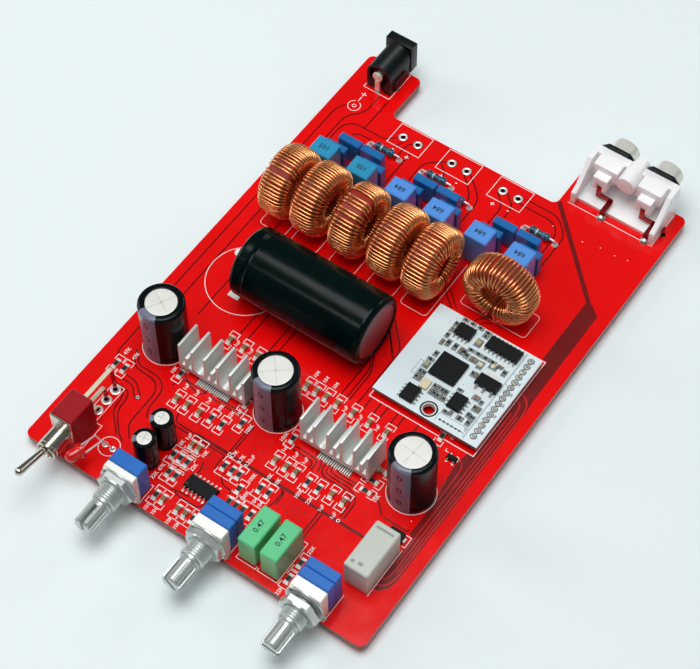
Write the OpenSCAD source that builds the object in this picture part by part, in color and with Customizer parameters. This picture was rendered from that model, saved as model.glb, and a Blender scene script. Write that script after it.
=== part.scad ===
// Audio amplifier board: a through-hole and surface-mount assembly with panel controls along the
// front edge and power, loudspeaker and signal connections along the back edge.
// Board coordinates: X from the left edge, Y from the front edge, Z from the board's upper face.

/* [Board] */
// Thickness of the circuit board
board_t = 1.6; // [0.8:0.1:3.2]
// Radius of the board's outer and inner corners
corner_r = 2; // [0.5:0.25:4]
// Bare strip between the wireless module and the right edge
right_margin = 7.4; // [4:0.2:15]
// Depth of the two tabs at the back, behind the notch
tab_d = 16.3; // [14:0.1:24]
// Width of the tab that carries the power jack
power_tab_w = 18.3; // [15:0.1:20]
// Width of the tab that carries the phono socket
phono_tab_w = 33.2; // [29:0.1:36]
// Radius of a component lead
lead_r = 0.3; // [0.2:0.05:0.45]
// Room between a lead or pin and its hole, all round
hole_clear = 0.15; // [0.05:0.05:0.3]
// How far soldered wire leads reach below the board
lead_out = 1.5; // [0.8:0.1:2]
// How far heavy soldered lugs reach below the board
lug_out = 2.4; // [2.1:0.1:4]

/* [Potentiometers] */
// Distance of the left potentiometer's shaft from the board's left edge
pot_left_x = 32.5; // [30:0.1:36]
// Distance of the middle potentiometer's shaft from the board's left edge
pot_middle_x = 60.5; // [58:0.1:61.5]
// Distance of the right potentiometer's shaft from the board's left edge
pot_right_x = 90.6; // [89.5:0.1:93]
// Width of a potentiometer
pot_w = 9.3; // [8.5:0.1:10.5]
// Height of a potentiometer above the board
pot_h = 11.2; // [9.5:0.1:14]
// Height of the shaft's centre line above the board
pot_axis_z = 5.8; // [5.6:0.1:7]
// Thickness of the metal front on the single potentiometer
single_front_t = 2.2; // [1.5:0.1:3]
// Thickness of the metal front on the double potentiometers
double_front_t = 3.3; // [2:0.1:4]
// Depth of the plastic body on the single potentiometer
single_body_d = 4.2; // [3:0.1:5]
// Depth of the plastic body on the double potentiometers
double_body_d = 6; // [4:0.1:7]
// Radius of the threaded bushing
bushing_r = 3.5; // [3.4:0.05:4]
// Length of the threaded bushing
bushing_l = 7; // [5.5:0.1:9]
// Radius of the shaft in its bushing
shaft_r = 2.95; // [2.5:0.05:3]
// Running clearance between shaft and bushing
shaft_clear = 0.05; // [0.03:0.01:0.1]
// Distance from the metal front to the end of the shaft
shaft_reach = 15; // [12:0.5:20]
// Length of the splined end of the shaft
spline_l = 6.6; // [4:0.2:8]
// Number of splines
spline_n = 18; // [12:1:24]
// Width of the slot that splits the splined end
slot_w = 1; // [0.6:0.1:1.4]
// Distance across the flats of the nut
nut_af = 10; // [9:0.5:11]
// Thickness of the nut
nut_t = 2; // [1.5:0.1:3]
// Outer radius of the washer
washer_r = 5.8; // [5:0.1:6.4]
// Thickness of the washer
washer_t = 0.5; // [0.3:0.1:1]
// Turned-back distance of the right potentiometer's nut
nut_slack = 1.3; // [0:0.1:2]

/* [Toggle switch] */
// Distance of the switch's centre line from the board's left edge
toggle_x = 11.2; // [9:0.1:12]
// Width of the switch body
toggle_w = 6.8; // [6.4:0.1:7.2]
// Depth of the switch body
toggle_d = 8.8; // [8:0.1:9.6]
// Height of the switch body
toggle_h = 13; // [12:0.1:15]
// Distance of the switch body from the board's front edge
toggle_y = 3.8; // [3:0.1:5]
// Thickness of the metal mounting plate
toggle_plate_t = 0.6; // [0.4:0.1:1]
// Outer radius of the switch bushing
toggle_bushing_r = 2.95; // [2.9:0.05:3.2]
// Length of the switch bushing
toggle_bushing_l = 6.8; // [6:0.1:7.2]
// Radius of the bushing's bore
toggle_bore_r = 2.35; // [2.3:0.05:2.4]
// Radius of the lever's ball
ball_r = 2.2; // [2.1:0.05:2.25]
// Length of the lever from the ball's centre to the tip
lever_l = 16.2; // [12:0.1:17]
// Radius of the lever's round tip
lever_tip_r = 1.2; // [1:0.05:1.4]
// Radius of the lever's neck
lever_neck_r = 0.85; // [0.7:0.05:0.9]
// Tilt of the lever at each end of its throw
lever_tilt = 14; // [8:1:14]
// Distance between the switch terminals, on the switch and on the board
toggle_pitch = 3.75; // [3.4:0.05:4]
// Width of a switch terminal
terminal_w = 1.6; // [1:0.1:2]
// Thickness of the sheet-metal terminals
terminal_t = 0.6; // [0.4:0.1:0.8]

/* [Indicator lamp] */
// Radius of the lamp's lens
led_r = 1.5; // [1.2:0.1:1.6]
// Length of the lamp from collar to tip
led_l = 5; // [4:0.1:6]
// Radius of the lamp's collar
led_collar_r = 1.85; // [1.7:0.05:1.9]
// Angle between the lamp and the board's front edge normal
led_angle = 19; // [10:1:24]
// Height of the lamp's centre line above the board
led_z = 6; // [3:0.1:7.5]
// Height at which the lamp's leads bend down to the board
led_bend_z = 8.2; // [7:0.1:10]

/* [Electrolytic capacitors] */
// Diameter of the three main capacitors, sleeve included
main_cap_d = 12.8; // [12:0.1:13.4]
// Height of the three main capacitors
main_cap_h = 20.4; // [15:0.1:26]
// Distance of the main capacitors' row from the front edge
amp_row_y = 43.3; // [42.8:0.1:44]
// Diameter of the two small capacitors, sleeve included
small_cap_d = 6.4; // [5:0.1:6.8]
// Height of the two small capacitors
small_cap_h = 11.6; // [7:0.1:14]
// Diameter of the reservoir capacitor, sleeve included
reservoir_d = 20.6; // [18:0.2:22]
// Length of the reservoir capacitor
reservoir_l = 42; // [38:0.5:50]
// Distance of the reservoir capacitor's base from the left edge
reservoir_x = 19.6; // [19:0.2:24]
// Thickness of the plastic sleeves
sleeve_t = 0.2; // [0.1:0.05:0.3]
// Room between a sleeve and its can
sleeve_clear = 0.03; // [0.02:0.01:0.05]

/* [Film capacitors and relay] */
// Width of a green input capacitor
input_cap_w = 5.3; // [4:0.1:6]
// Depth of a green input capacitor
input_cap_d = 11.6; // [10:0.1:12]
// Height of a green input capacitor
input_cap_h = 10; // [8:0.1:13]
// Width of the blue output capacitors
film_w = 7.2; // [6.4:0.1:7.4]
// Depth of the large blue output capacitors
film_d = 6; // [5:0.1:7]
// Height of the large blue output capacitors
film_h = 11.6; // [9:0.1:14]
// Depth of the thin blue capacitors
thin_d = 2.5; // [2:0.1:3]
// Height of the thin blue capacitors
thin_h = 8; // [6:0.1:10]
// Distance between the lead centres of a film capacitor
film_pitch = 5.08; // [4.5:0.02:5.4]
// Width of the relay
relay_w = 7.2; // [6.5:0.1:8]
// Depth of the relay
relay_d = 14.9; // [14:0.1:15.4]
// Height of the relay
relay_h = 9.5; // [8:0.1:12]

/* [Spacing of the rows] */
// Room between the main capacitors and the reservoir capacitor
reservoir_gap = 13.2; // [12:0.2:20]
// Room between the reservoir capacitor and the chokes
choke_gap = 6.2; // [5.6:0.2:12]
// Room between the chokes and the output capacitors
film_gap = 1.4; // [1:0.1:5]
// Room between output capacitors and the thin capacitors behind them
row_gap = 0.4; // [0.2:0.1:2]
// Room between the two rows of thin capacitors
thin_gap = 1.5; // [0.5:0.1:4]
// Distance from the thin capacitors to the nearest resistor's centre line
resistor_gap = 3; // [1.6:0.1:6]
// Distance from the resistors to the loudspeaker holes
loudspeaker_gap = 7.7; // [5:0.1:12]
// Distance from the loudspeaker holes to the notch
loudspeaker_margin = 4.5; // [3:0.1:8]
// Room between the reservoir capacitor and the wireless module
module_gap = 6; // [3:0.2:10]

/* [Output chokes] */
// Diameter of a wound choke
choke_d = 21.4; // [20:0.1:22]
// Width of a wound choke
choke_w = 9.5; // [8.5:0.1:10]
// Diameter of the winding's inner opening
choke_hole_d = 8.8; // [8.6:0.1:9.6]
// Thickness of the copper wire
wire_t = 0.6; // [0.5:0.02:0.62]
// Number of turns on each core
choke_turns = 40; // [30:1:40]
// Angle left free of turns beside the board
choke_gap_angle = 24; // [18:1:30]
// Room between winding and core
core_clear = 0.1; // [0.05:0.05:0.2]

/* [Heat sinks and chips] */
// Width of a heat sink
heatsink_w = 21.7; // [18:0.1:22]
// Length of a heat sink's fins
heatsink_d = 8; // [6:0.1:9]
// Height of a heat sink
heatsink_h = 10.4; // [6:0.1:14]
// Thickness of a heat sink's base
heatsink_base_t = 1.8; // [1:0.1:2.5]
// Thickness of a fin
fin_t = 0.9; // [0.6:0.1:1.2]
// Height of the short ribs between the fins
rib_h = 4; // [2:0.1:5]
// Length of an amplifier chip
amp_chip_l = 11; // [9:0.1:13]
// Width of an amplifier chip
amp_chip_w = 6.2; // [5:0.1:7]
// Height of an amplifier chip
amp_chip_h = 1.2; // [0.9:0.1:1.6]
// Length of a chip resistor or chip capacitor
smd_l = 2.1; // [1.6:0.1:2.6]
// Width of a chip resistor or chip capacitor
smd_w = 1.3; // [0.8:0.1:1.6]
// Height of a chip resistor
smd_h = 0.6; // [0.4:0.1:1]

/* [Wireless module] */
// Width of the module's board
module_w = 32.6; // [30:0.1:33]
// Depth of the module's board
module_d = 32.6; // [31:0.1:33]
// Thickness of the module's board
module_t = 1; // [0.6:0.1:1.6]
// Height of the module's board above the main board
module_lift = 2; // [1.5:0.1:4]
// Distance between header pins
header_pitch = 2; // [1.8:0.02:2.1]
// Number of header pins
header_n = 15; // [8:1:15]

/* [Power jack] */
// Distance of the power jack's centre line from the left edge
dc_x = 9.6; // [8:0.1:10.5]
// Width of the power jack
dc_w = 9; // [8:0.1:10]
// Height of the power jack's flange
dc_h = 11; // [10.6:0.1:13]
// Thickness of the power jack's flange
dc_flange_t = 3; // [2:0.1:4]
// Length of the power jack's barrel
dc_barrel_l = 10.4; // [10:0.1:12]
// Radius of the power jack's barrel
dc_barrel_r = 4.1; // [3.9:0.05:4.4]
// Height of the plug's centre line
dc_axis_z = 6.4; // [6:0.1:6.6]
// Radius of the plug's opening
dc_bore_r = 3.2; // [2.9:0.05:3.3]
// Radius of the centre pin
dc_pin_r = 1.05; // [0.8:0.05:1.25]

/* [Phono socket] */
// Distance between the two sockets
phono_pitch = 14; // [13:0.1:15]
// Width of the socket housing
phono_w = 26.6; // [25:0.1:27]
// Depth of the socket housing
phono_d = 13.2; // [12:0.1:14]
// Height of the socket housing
phono_h = 12.4; // [12:0.1:15]
// Height of the sockets' centre lines
phono_axis_z = 8; // [7.4:0.1:8.4]
// Outer radius of a socket's metal shell
phono_shell_r = 4.15; // [4:0.05:4.3]
// Length of a metal shell behind the spacer
phono_shell_l = 5; // [4:0.1:9]
// Radius of a socket's centre bore
phono_bore_r = 1.6; // [1.5:0.05:1.75]
// Thickness of a socket's black spacer
spacer_t = 1; // [0.6:0.1:1.5]

/* [Hidden] */
$fn = 48;
eps = 0.01;
seat = 0.02;

resistor_end_r = 1.2;

// Rows of parts from front to back
pot_x = [pot_left_x, pot_middle_x, pot_right_x];
pot_front_t = [single_front_t, double_front_t, double_front_t];
pot_body_d = [single_body_d, double_body_d, double_body_d];
pot_nut_gap = [0, 0, nut_slack];
reservoir_r = reservoir_d / 2;
reservoir_y = amp_row_y + main_cap_d / 2 + reservoir_gap + reservoir_r;
choke_r = choke_d / 2;
choke_y = reservoir_y + reservoir_r + choke_gap + choke_r;
film_y = choke_y + choke_r + film_gap;
companion_y = film_y + film_d + row_gap;
thin_y = companion_y + thin_d + thin_gap;
resistor_near_y = thin_y + thin_d + resistor_gap;
resistor_y = resistor_near_y + 2 * resistor_end_r + row_gap;
loudspeaker_y = resistor_y + loudspeaker_gap;
notch_y = loudspeaker_y + loudspeaker_margin;
board_d = notch_y + tab_d;

// Columns of parts from left to right
main_cap_left_x = 13.6;
heatsink_gaps = [1.1, 1.4, 3.6, 4.2];
module_x = reservoir_x + reservoir_l + module_gap;
board_w = module_x + module_w + right_margin;
heatsink_left_x = main_cap_left_x + main_cap_d / 2 + heatsink_gaps[0];
main_cap_middle_x = heatsink_left_x + heatsink_w + heatsink_gaps[1] + main_cap_d / 2;
heatsink_right_x = main_cap_middle_x + main_cap_d / 2 + heatsink_gaps[2];
main_cap_right_x = heatsink_right_x + heatsink_w + heatsink_gaps[3] + main_cap_d / 2;
main_cap_x = [main_cap_left_x, main_cap_middle_x, main_cap_right_x];
heatsink_x = [heatsink_left_x, heatsink_right_x];
amp_chip_x = [for (x = heatsink_x) x + heatsink_w / 2 + 0.6];
main_pitch = 5;
small_pitch = 2.5;
small_cap_at = [[31.6, 19.3], [31.6, 12]];
input_cap_y = 3.1;
input_cap_left_x = pot_middle_x + pot_w / 2 + 2.4;
input_cap_gap = 1.5;
input_cap_x = [input_cap_left_x, input_cap_left_x + input_cap_w + input_cap_gap];
relay_left_gap = 13.4;
relay_front_gap = 3.4;
relay_x = input_cap_x[1] + input_cap_w + relay_left_gap;
relay_y = double_front_t + double_body_d + relay_front_gap;
relay_pins_y = [1.9, 5.1, 7.6, 12.7];
choke_gaps = [1.2, 3.3, 3.3, 1.7];
choke_first_x = 13.4;
choke_side_gap = 4.8;
choke_module_gap = 3.6;
film_group_x = [20.8, 46.4, 72.8];
film_pair = 12.7;
thin_pair = film_w + 0.4;
thin_shift = 0.3;
companion_shift = 0.5;
resistor_shift = [3.4, -4.4, 3.7];
resistor_near_x = film_group_x[1] + 3.6;
resistor_pitch = 10.16;
resistor_body_l = 6.4;
resistor_waist_r = 0.95;
loudspeaker_x = [28, 44.8, 62.1];
loudspeaker_pitch = 5.08;
loudspeaker_hole_r = 0.7;
module_front_gap = 12.5;
module_y = amp_row_y + main_cap_d / 2 + module_front_gap;
header_x = module_x + module_w - 2.5;
header_y = module_y + 2.6;
phono_x = board_w - 17.2;
phono_y = board_d - phono_d;
dc_back_y = board_d - dc_barrel_l;

// Running sums that place one choke beside the next
function choke_row_x(i) = i == 0 ? choke_first_x : choke_row_x(i - 1) + choke_w + choke_gaps[i - 1];
choke_side_x = choke_row_x(4) + choke_w / 2 + choke_side_gap + choke_r;
choke_side_y = module_y + module_d + choke_module_gap + choke_w / 2;
choke_at = concat([for (i = [0:4]) [choke_row_x(i), choke_y, 0]], [[choke_side_x, choke_side_y, 90]]);

// Wire path around a core: outer corners are cut, inner corners are square
wire_h = wire_t / 2;
path_out_r = choke_r - wire_h;
path_in_r = choke_hole_d / 2 + wire_h;
path_half_w = choke_w / 2 - wire_h;
path_cut = 1.3;
wire_section = [
  [path_out_r, path_cut - path_half_w],
  [path_out_r, path_half_w - path_cut],
  [path_out_r - path_cut, path_half_w],
  [path_in_r, path_half_w],
  [path_in_r, -path_half_w],
  [path_out_r - path_cut, -path_half_w]
];
wire_steps = choke_turns * len(wire_section) + 1;
choke_lift = choke_r + 0.3;
core_mid_r = (path_out_r + path_in_r) / 2;
core_out_r = path_out_r - wire_h - core_clear;
core_in_r = path_in_r + wire_h + core_clear;
core_half_w = path_half_w - wire_h - core_clear;

function wire_angle(i) = -90 + choke_gap_angle / 2 + (360 - choke_gap_angle) * i / wire_steps;
function turn_point(s, a) = [s[1], s[0] * cos(a), s[0] * sin(a)];
function wire_point(i) = turn_point(wire_section[i % len(wire_section)], wire_angle(i));
function lead_foot(p) = [p[0], p[1], -choke_lift - board_t];
wire_ring = [for (i = [0:wire_steps]) wire_point(i)];
wire_path = concat([lead_foot(wire_ring[0])], wire_ring, [lead_foot(wire_ring[wire_steps])]);
function unit(v) = v / norm(v);
function core_middle(p) = core_mid_r * unit([0, p[1], p[2]]);
function wire_heading(path, i) = unit(path[min(i + 1, len(path) - 1)] - path[max(i - 1, 0)]);
function wire_corner(path, i, side, lift) =
  let (t = wire_heading(path, i),
       b = unit(cross(t, path[i] - core_middle(path[i]))),
       n = cross(b, t))
  path[i] + wire_h * (lift * n + side * b);
choke_leads = [for (p = [wire_path[0], wire_path[len(wire_path) - 1]]) [p[0], p[1]]];

// Places of leads and pins on the board
function beside(at, pitch) = [at - [pitch / 2, 0], at + [pitch / 2, 0]];
function along(at, pitch) = [at - [0, pitch / 2], at + [0, pitch / 2]];
function turned(p, a) = [p[0] * cos(a) - p[1] * sin(a), p[0] * sin(a) + p[1] * cos(a)];
film_at = [for (x = film_group_x, s = [-1, 1]) [x + s * film_pair / 2, film_y + film_d / 2]];
companion_at = [for (p = film_at) [p[0] + companion_shift, companion_y + thin_d / 2]];
thin_at = [for (x = film_group_x, s = [-1, 1]) [x + thin_shift + s * thin_pair / 2, thin_y + thin_d / 2]];
resistor_at = concat(
  [for (i = [0:2]) [film_group_x[i] + resistor_shift[i], resistor_y]],
  [[resistor_near_x, resistor_near_y]]);
input_cap_at = [for (x = input_cap_x) [x + input_cap_w / 2, input_cap_y + input_cap_d / 2]];
relay_pins = [for (y = relay_pins_y, s = [-1, 1]) [relay_x + relay_w / 2 + s * 2.54, relay_y + y]];
header_pins = [for (i = [0:header_n - 1]) [header_x, header_y + i * header_pitch]];
led_holes = [[19.4, 9.5], [21.9, 9.5]];
pot_pin_pitch = 2.5;
pot_pin_rows = [[0.5], [0.25, 0.75], [0.25, 0.75]];
pot_pins = [
  for (i = [0:2], row = pot_pin_rows[i], k = [-1, 0, 1])
    [pot_x[i] + k * pot_pin_pitch, pot_front_t[i] + row * pot_body_d[i]]
];
reservoir_lug_x = reservoir_x - 1;
reservoir_lugs_at = along([reservoir_lug_x, reservoir_y], 10);
wire_leads = concat(
  [for (x = main_cap_x) each beside([x, amp_row_y], main_pitch)],
  [for (p = small_cap_at) each beside(p, small_pitch)],
  [for (p = concat(film_at, companion_at, thin_at)) each beside(p, film_pitch)],
  [for (p = resistor_at) each beside(p, resistor_pitch)],
  [for (p = input_cap_at) each along(p, 10)],
  [for (c = choke_at, p = choke_leads) [c[0], c[1]] + turned(p, c[2])],
  relay_pins, header_pins, led_holes, pot_pins, reservoir_lugs_at);

// Places of heavy lugs on the board
pot_lug_dx = pot_w / 2 - 0.2;
lug_hole_r = terminal_w / 2 + hole_clear;
lug_edge = 0.4;
pot_lug_y = [for (t = pot_front_t) max(t / 2, lug_hole_r + lug_edge)];
pot_lugs = [for (i = [0:2], s = [-1, 1]) [pot_x[i] + s * pot_lug_dx, pot_lug_y[i]]];
toggle_lugs = [for (i = [0:2]) [toggle_x, toggle_y + toggle_d + 4 + i * toggle_pitch]];
phono_wall = 1.4;
phono_strip_w = 1.5;
phono_strip_clear = 0.25;
phono_signal_dx = (phono_w - phono_pitch - phono_strip_w) / 2 - phono_wall - phono_strip_clear;
phono_signal = [for (s = [-1, 1]) [phono_x + s * phono_pitch / 2 + phono_signal_dx, phono_y + 0.2]];
phono_ground = [for (s = [-1, 1]) [phono_x + s * (phono_w / 2 + 0.7), phono_y + 4.6]];
dc_lugs = [
  [dc_x, dc_back_y - terminal_t / 2 - 0.1],
  [dc_x, dc_back_y + 6],
  [dc_x + dc_w / 2 - 0.4, dc_back_y + 3.2]
];
heavy_lugs = concat(pot_lugs, toggle_lugs, phono_signal, phono_ground, dc_lugs);

// Frame: centre of the part's box, standing on the ends of its heavy lugs
front_y = -shaft_reach;
back_y = board_d + spacer_t + phono_shell_l;
board_z = board_t + lug_out;

// Moves board coordinates to the part's own frame
module on_board() {
  translate([-board_w / 2, -(front_y + back_y) / 2, board_z])
    children();
}

// Rectangle with round corners, its lower left corner at the origin
module round_square(size, r) {
  translate([r, 0])
    square([size[0] - 2 * r, size[1]]);
  translate([0, r])
    square([size[0], size[1] - 2 * r]);
  for (x = [r, size[0] - r], y = [r, size[1] - r])
    translate([x, y])
      circle(r);
}

// The sharp sliver that rounding takes off a corner at the origin
module corner_sliver(r) {
  difference() {
    square(r + eps);
    translate([r, r])
      circle(r);
  }
}

// Block with round vertical edges, centred on a point of the board
module block(at, size, z = 0, r = 0.4) {
  translate([at[0] - size[0] / 2, at[1] - size[1] / 2, z])
    linear_extrude(size[2])
      round_square([size[0], size[1]], r);
}

// Leads that go straight down from a height into the board
module leads(points, top, r = lead_r) {
  for (p = points)
    translate([p[0], p[1], -board_t])
      cylinder(h = board_t + top, r = r);
}

// Round wire along a list of points, for square bends
module wire(points, r) {
  for (i = [0:len(points) - 2]) {
    step = points[i + 1] - points[i];
    translate(points[i])
      rotate([0, acos(step[2] / norm(step)), atan2(step[1], step[0])])
        cylinder(h = norm(step), r = r);
  }
  for (i = [1:len(points) - 2])
    translate(points[i])
      sphere(r);
}

// Wire along a list of points with mitred bends, for slanted stretches
tube_sides = 10;
function first_ring(at, heading, r) =
  let (u = unit(cross(heading, [0, 0, 1])), v = cross(u, heading))
  [for (k = [0:tube_sides - 1]) at + r * (cos(360 * k / tube_sides) * u + sin(360 * k / tube_sides) * v)];
function mitre(ring, heading, at, normal) =
  [for (q = ring) q + heading * ((at - q) * normal) / (heading * normal)];
function next_rings(points, ring, i) =
  i == len(points) ? [] :
  let (heading = unit(points[i] - points[i - 1]),
       turn = i == len(points) - 1 ? heading : heading + unit(points[i + 1] - points[i]),
       cut = mitre(ring, heading, points[i], turn))
  concat(cut, next_rings(points, cut, i + 1));

module tube(points, r) {
  n = tube_sides;
  start = first_ring(points[0], unit(points[1] - points[0]), r);
  last = n * (len(points) - 1);
  polyhedron(
    concat(start, next_rings(points, start, 1)),
    concat(
      [[for (j = [n - 1:-1:0]) j]],
      [for (k = [0:len(points) - 2], j = [0:n - 1])
        [n * k + j, n * k + (j + 1) % n, n * (k + 1) + (j + 1) % n, n * (k + 1) + j]],
      [[for (j = [0:n - 1]) last + j]]));
}

// Cylinder along Y, towards the back
module along_y(at, h, r) {
  translate(at)
    rotate([-90, 0, 0])
      cylinder(h = h, r = r);
}

// Sheet-metal strip that runs back from a wall and bends down into the board
module bent_strip(x, y0, y1, z, w, t) {
  translate([x - w / 2, 0, 0])
    rotate([90, 0, 90])
      linear_extrude(w) {
        translate([y0, z - t / 2])
          square([y1 - y0 - t / 2, t]);
        translate([y1 - t / 2, -board_t])
          square([t, z - t / 2 + board_t]);
        translate([y1 - t / 2, z - t / 2])
          intersection() {
            circle(t);
            square(t);
          }
      }
}

// Board outline: a rectangle with a notch between two tabs at the back
module board_outline() {
  notch_w = board_w - power_tab_w - phono_tab_w;
  difference() {
    round_square([board_w, board_d], corner_r);
    translate([power_tab_w, notch_y])
      round_square([notch_w, tab_d + corner_r + 1], corner_r);
    translate([power_tab_w, board_d])
      rotate(180)
        corner_sliver(corner_r);
    translate([board_w - phono_tab_w, board_d])
      rotate(-90)
        corner_sliver(corner_r);
  }
}

module circuit_board() {
  color("red")
    translate([0, 0, -board_t])
      linear_extrude(board_t)
        difference() {
          board_outline();
          for (p = wire_leads)
            translate(p)
              circle(lead_r + hole_clear);
          for (p = heavy_lugs)
            translate(p)
              circle(lug_hole_r);
          for (x = loudspeaker_x, p = beside([x, loudspeaker_y], loudspeaker_pitch))
            translate(p)
              circle(loudspeaker_hole_r);
        }
}

// One soldered end below the board: a fillet that runs out on a tip
module soldered_end(foot_r, tip_r, reach) {
  fillet_h = reach * 0.6;
  rotate_extrude()
    polygon([
      [0, 0], [foot_r, 0], [foot_r * 0.7, -fillet_h * 0.35], [tip_r, -fillet_h],
      [tip_r, -reach + tip_r * 0.4], [tip_r * 0.6, -reach], [0, -reach]
    ]);
}

module solder_joints() {
  color("silver")
    for (p = wire_leads)
      translate([p[0], p[1], -board_t])
        soldered_end(lead_r * 2.6, lead_r * 1.3, lead_out);
}

module lug_joints() {
  color("silver")
    for (p = heavy_lugs)
      translate([p[0], p[1], -board_t])
        soldered_end(terminal_w * 0.9, terminal_w * 0.55, lug_out);
}

// Toggle switch
toggle_axis_z = toggle_h / 2;
pivot_y = toggle_y - seat - toggle_plate_t - ball_r + 0.3;
bushing_front_y = toggle_y - toggle_plate_t - toggle_bushing_l;
// The throat lets the lever swing and keeps the ball in
throat_share = 0.62;
throat_d = ball_r * throat_share;
throat_r = ball_r * sqrt(1 - throat_share * throat_share) + 0.12;

module toggle_body() {
  color("firebrick")
    translate([toggle_x - toggle_w / 2, toggle_y, 0])
      rotate([90, 0, 90])
        linear_extrude(toggle_w)
          round_square([toggle_d, toggle_h], 0.3);
}

module toggle_bushing() {
  throat_y = pivot_y - throat_d;
  mouth_y = throat_y - 0.9;
  color("silver")
    difference() {
      union() {
        translate([toggle_x - toggle_w / 2, toggle_y - toggle_plate_t, 0.2])
          cube([toggle_w, toggle_plate_t, toggle_h - 0.2]);
        along_y([toggle_x, bushing_front_y, toggle_axis_z], toggle_bushing_l + eps, toggle_bushing_r);
      }
      along_y([toggle_x, throat_y, toggle_axis_z], toggle_y - throat_y + 1, toggle_bore_r);
      along_y([toggle_x, bushing_front_y - 1, toggle_axis_z], toggle_bushing_l, throat_r);
      translate([toggle_x, mouth_y, toggle_axis_z])
        rotate([90, 0, 0])
          cylinder(h = mouth_y - bushing_front_y + eps, r1 = throat_r - eps, r2 = toggle_bore_r + 0.1);
    }
}

module toggle_lever() {
  flat_x = ball_r * 0.86;
  trunnion_x = ball_r * 0.94;
  trunnion_r = ball_r * 0.32;
  color("gainsboro")
    translate([toggle_x, pivot_y, toggle_axis_z])
      rotate([90 - lever_tilt, 0, 0]) {
        difference() {
          rotate_extrude()
            difference() {
              union() {
                circle(ball_r);
                polygon([
                  [0, 0], [lever_neck_r, 0], [lever_neck_r, lever_l * 0.4],
                  [lever_tip_r, lever_l - lever_tip_r], [0, lever_l - lever_tip_r]
                ]);
                translate([0, lever_l - lever_tip_r])
                  circle(lever_tip_r);
              }
              translate([-lever_l, -lever_l])
                square([lever_l, 3 * lever_l]);
            }
          for (s = [-1, 1])
            translate([s * (flat_x + ball_r / 2), 0, 0])
              cube([ball_r, 2 * ball_r, 2 * ball_r], center = true);
        }
        rotate([0, 90, 0])
          cylinder(h = 2 * trunnion_x, r = trunnion_r, center = true);
      }
}

module toggle_terminals() {
  rear_y = toggle_y + toggle_d;
  color("tan")
    for (i = [0:2])
      bent_strip(toggle_x, rear_y, toggle_lugs[i][1], toggle_axis_z + (i - 1) * (toggle_h / 2 - 1.7),
                 terminal_w, terminal_t);
}

// Indicator lamp, held up at the front edge by its own leads
lamp_rear = [18.3, 2.5, led_z];
lamp_across = [cos(led_angle), -sin(led_angle), 0];
lamp_lead_pitch = 2.54;

module lamp_lens() {
  collar_t = 1;
  color("red")
    translate(lamp_rear)
      rotate([90, 0, -led_angle])
        rotate_extrude()
          difference() {
            union() {
              square([led_collar_r, collar_t]);
              square([led_r, led_l - led_r]);
              translate([0, led_l - led_r])
                circle(led_r);
            }
            translate([-led_l, -led_l])
              square([led_l, 3 * led_l]);
          }
}

module lamp_leads() {
  bend = [0, -2.7, led_bend_z];
  below = [0, 0, -board_t];
  color("silver")
    for (i = [0, 1]) {
      start = lamp_rear + (i - 0.5) * lamp_lead_pitch * lamp_across;
      hole = [led_holes[i][0], led_holes[i][1], 0];
      tube([start, hole + bend, hole, hole + below], 0.25);
    }
}

// Potentiometers: a collar keeps each shaft between the metal front and the plastic body
collar_r = shaft_r + 1.1;
collar_t = 1.1;
key_inset = 0.1;
key = [1.2, washer_t, 2];
key_z = bushing_r - 0.6;
collar_clear = 0.1;
slot_turn = [90, 50, 10];

module pot_body(i) {
  lift = 0.5;
  chamfer = 1.2;
  groove = 0.3;
  depth = pot_body_d[i];
  gangs = len(pot_pin_rows[i]);
  color("royalblue")
    translate([pot_x[i] - pot_w / 2, pot_front_t[i], lift])
      difference() {
        cube([pot_w, depth, pot_h - lift]);
        for (s = [0, 1])
          translate([s * pot_w, depth / 2, 0])
            rotate([0, 45, 0])
              cube([chamfer, depth + 1, chamfer], center = true);
        if (gangs > 1)
          translate([-eps, (depth - groove) / 2, pot_h - lift - groove])
            cube([pot_w + 2 * eps, groove, 1]);
      }
}

module pot_bushing(i) {
  depth = pot_front_t[i];
  lug = [0.7, 1.1];
  color("lightgray")
    difference() {
      union() {
        translate([pot_x[i] - pot_w / 2 - 0.1, 0, 0.4])
          cube([pot_w + 0.2, depth, pot_h - 0.6]);
        along_y([pot_x[i], -bushing_l, pot_axis_z], bushing_l + eps, bushing_r);
        translate([pot_x[i] - pot_w / 2 + key_inset, -key[1], pot_axis_z + key_z])
          cube([key[0], key[1] + eps, key[2]]);
        for (s = [-1, 1])
          translate([pot_x[i] + s * pot_lug_dx - lug[0] / 2, pot_lug_y[i] - lug[1] / 2, -board_t])
            cube([lug[0], lug[1], board_t + 1]);
      }
      along_y([pot_x[i], -bushing_l - 1, pot_axis_z], bushing_l + depth + 2, shaft_r + shaft_clear);
      along_y([pot_x[i], depth - collar_t - 2 * collar_clear, pot_axis_z], depth, collar_r + collar_clear);
    }
}

module spline_profile() {
  root_r = shaft_r * 0.91;
  tooth = [0, 0.4, 0.5, 0.9];
  polygon([
    for (k = [0:spline_n - 1], j = [0:3])
      let (r = j < 2 ? shaft_r : root_r, a = (k + tooth[j]) * 360 / spline_n)
      r * [cos(a), sin(a)]
  ]);
}

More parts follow.
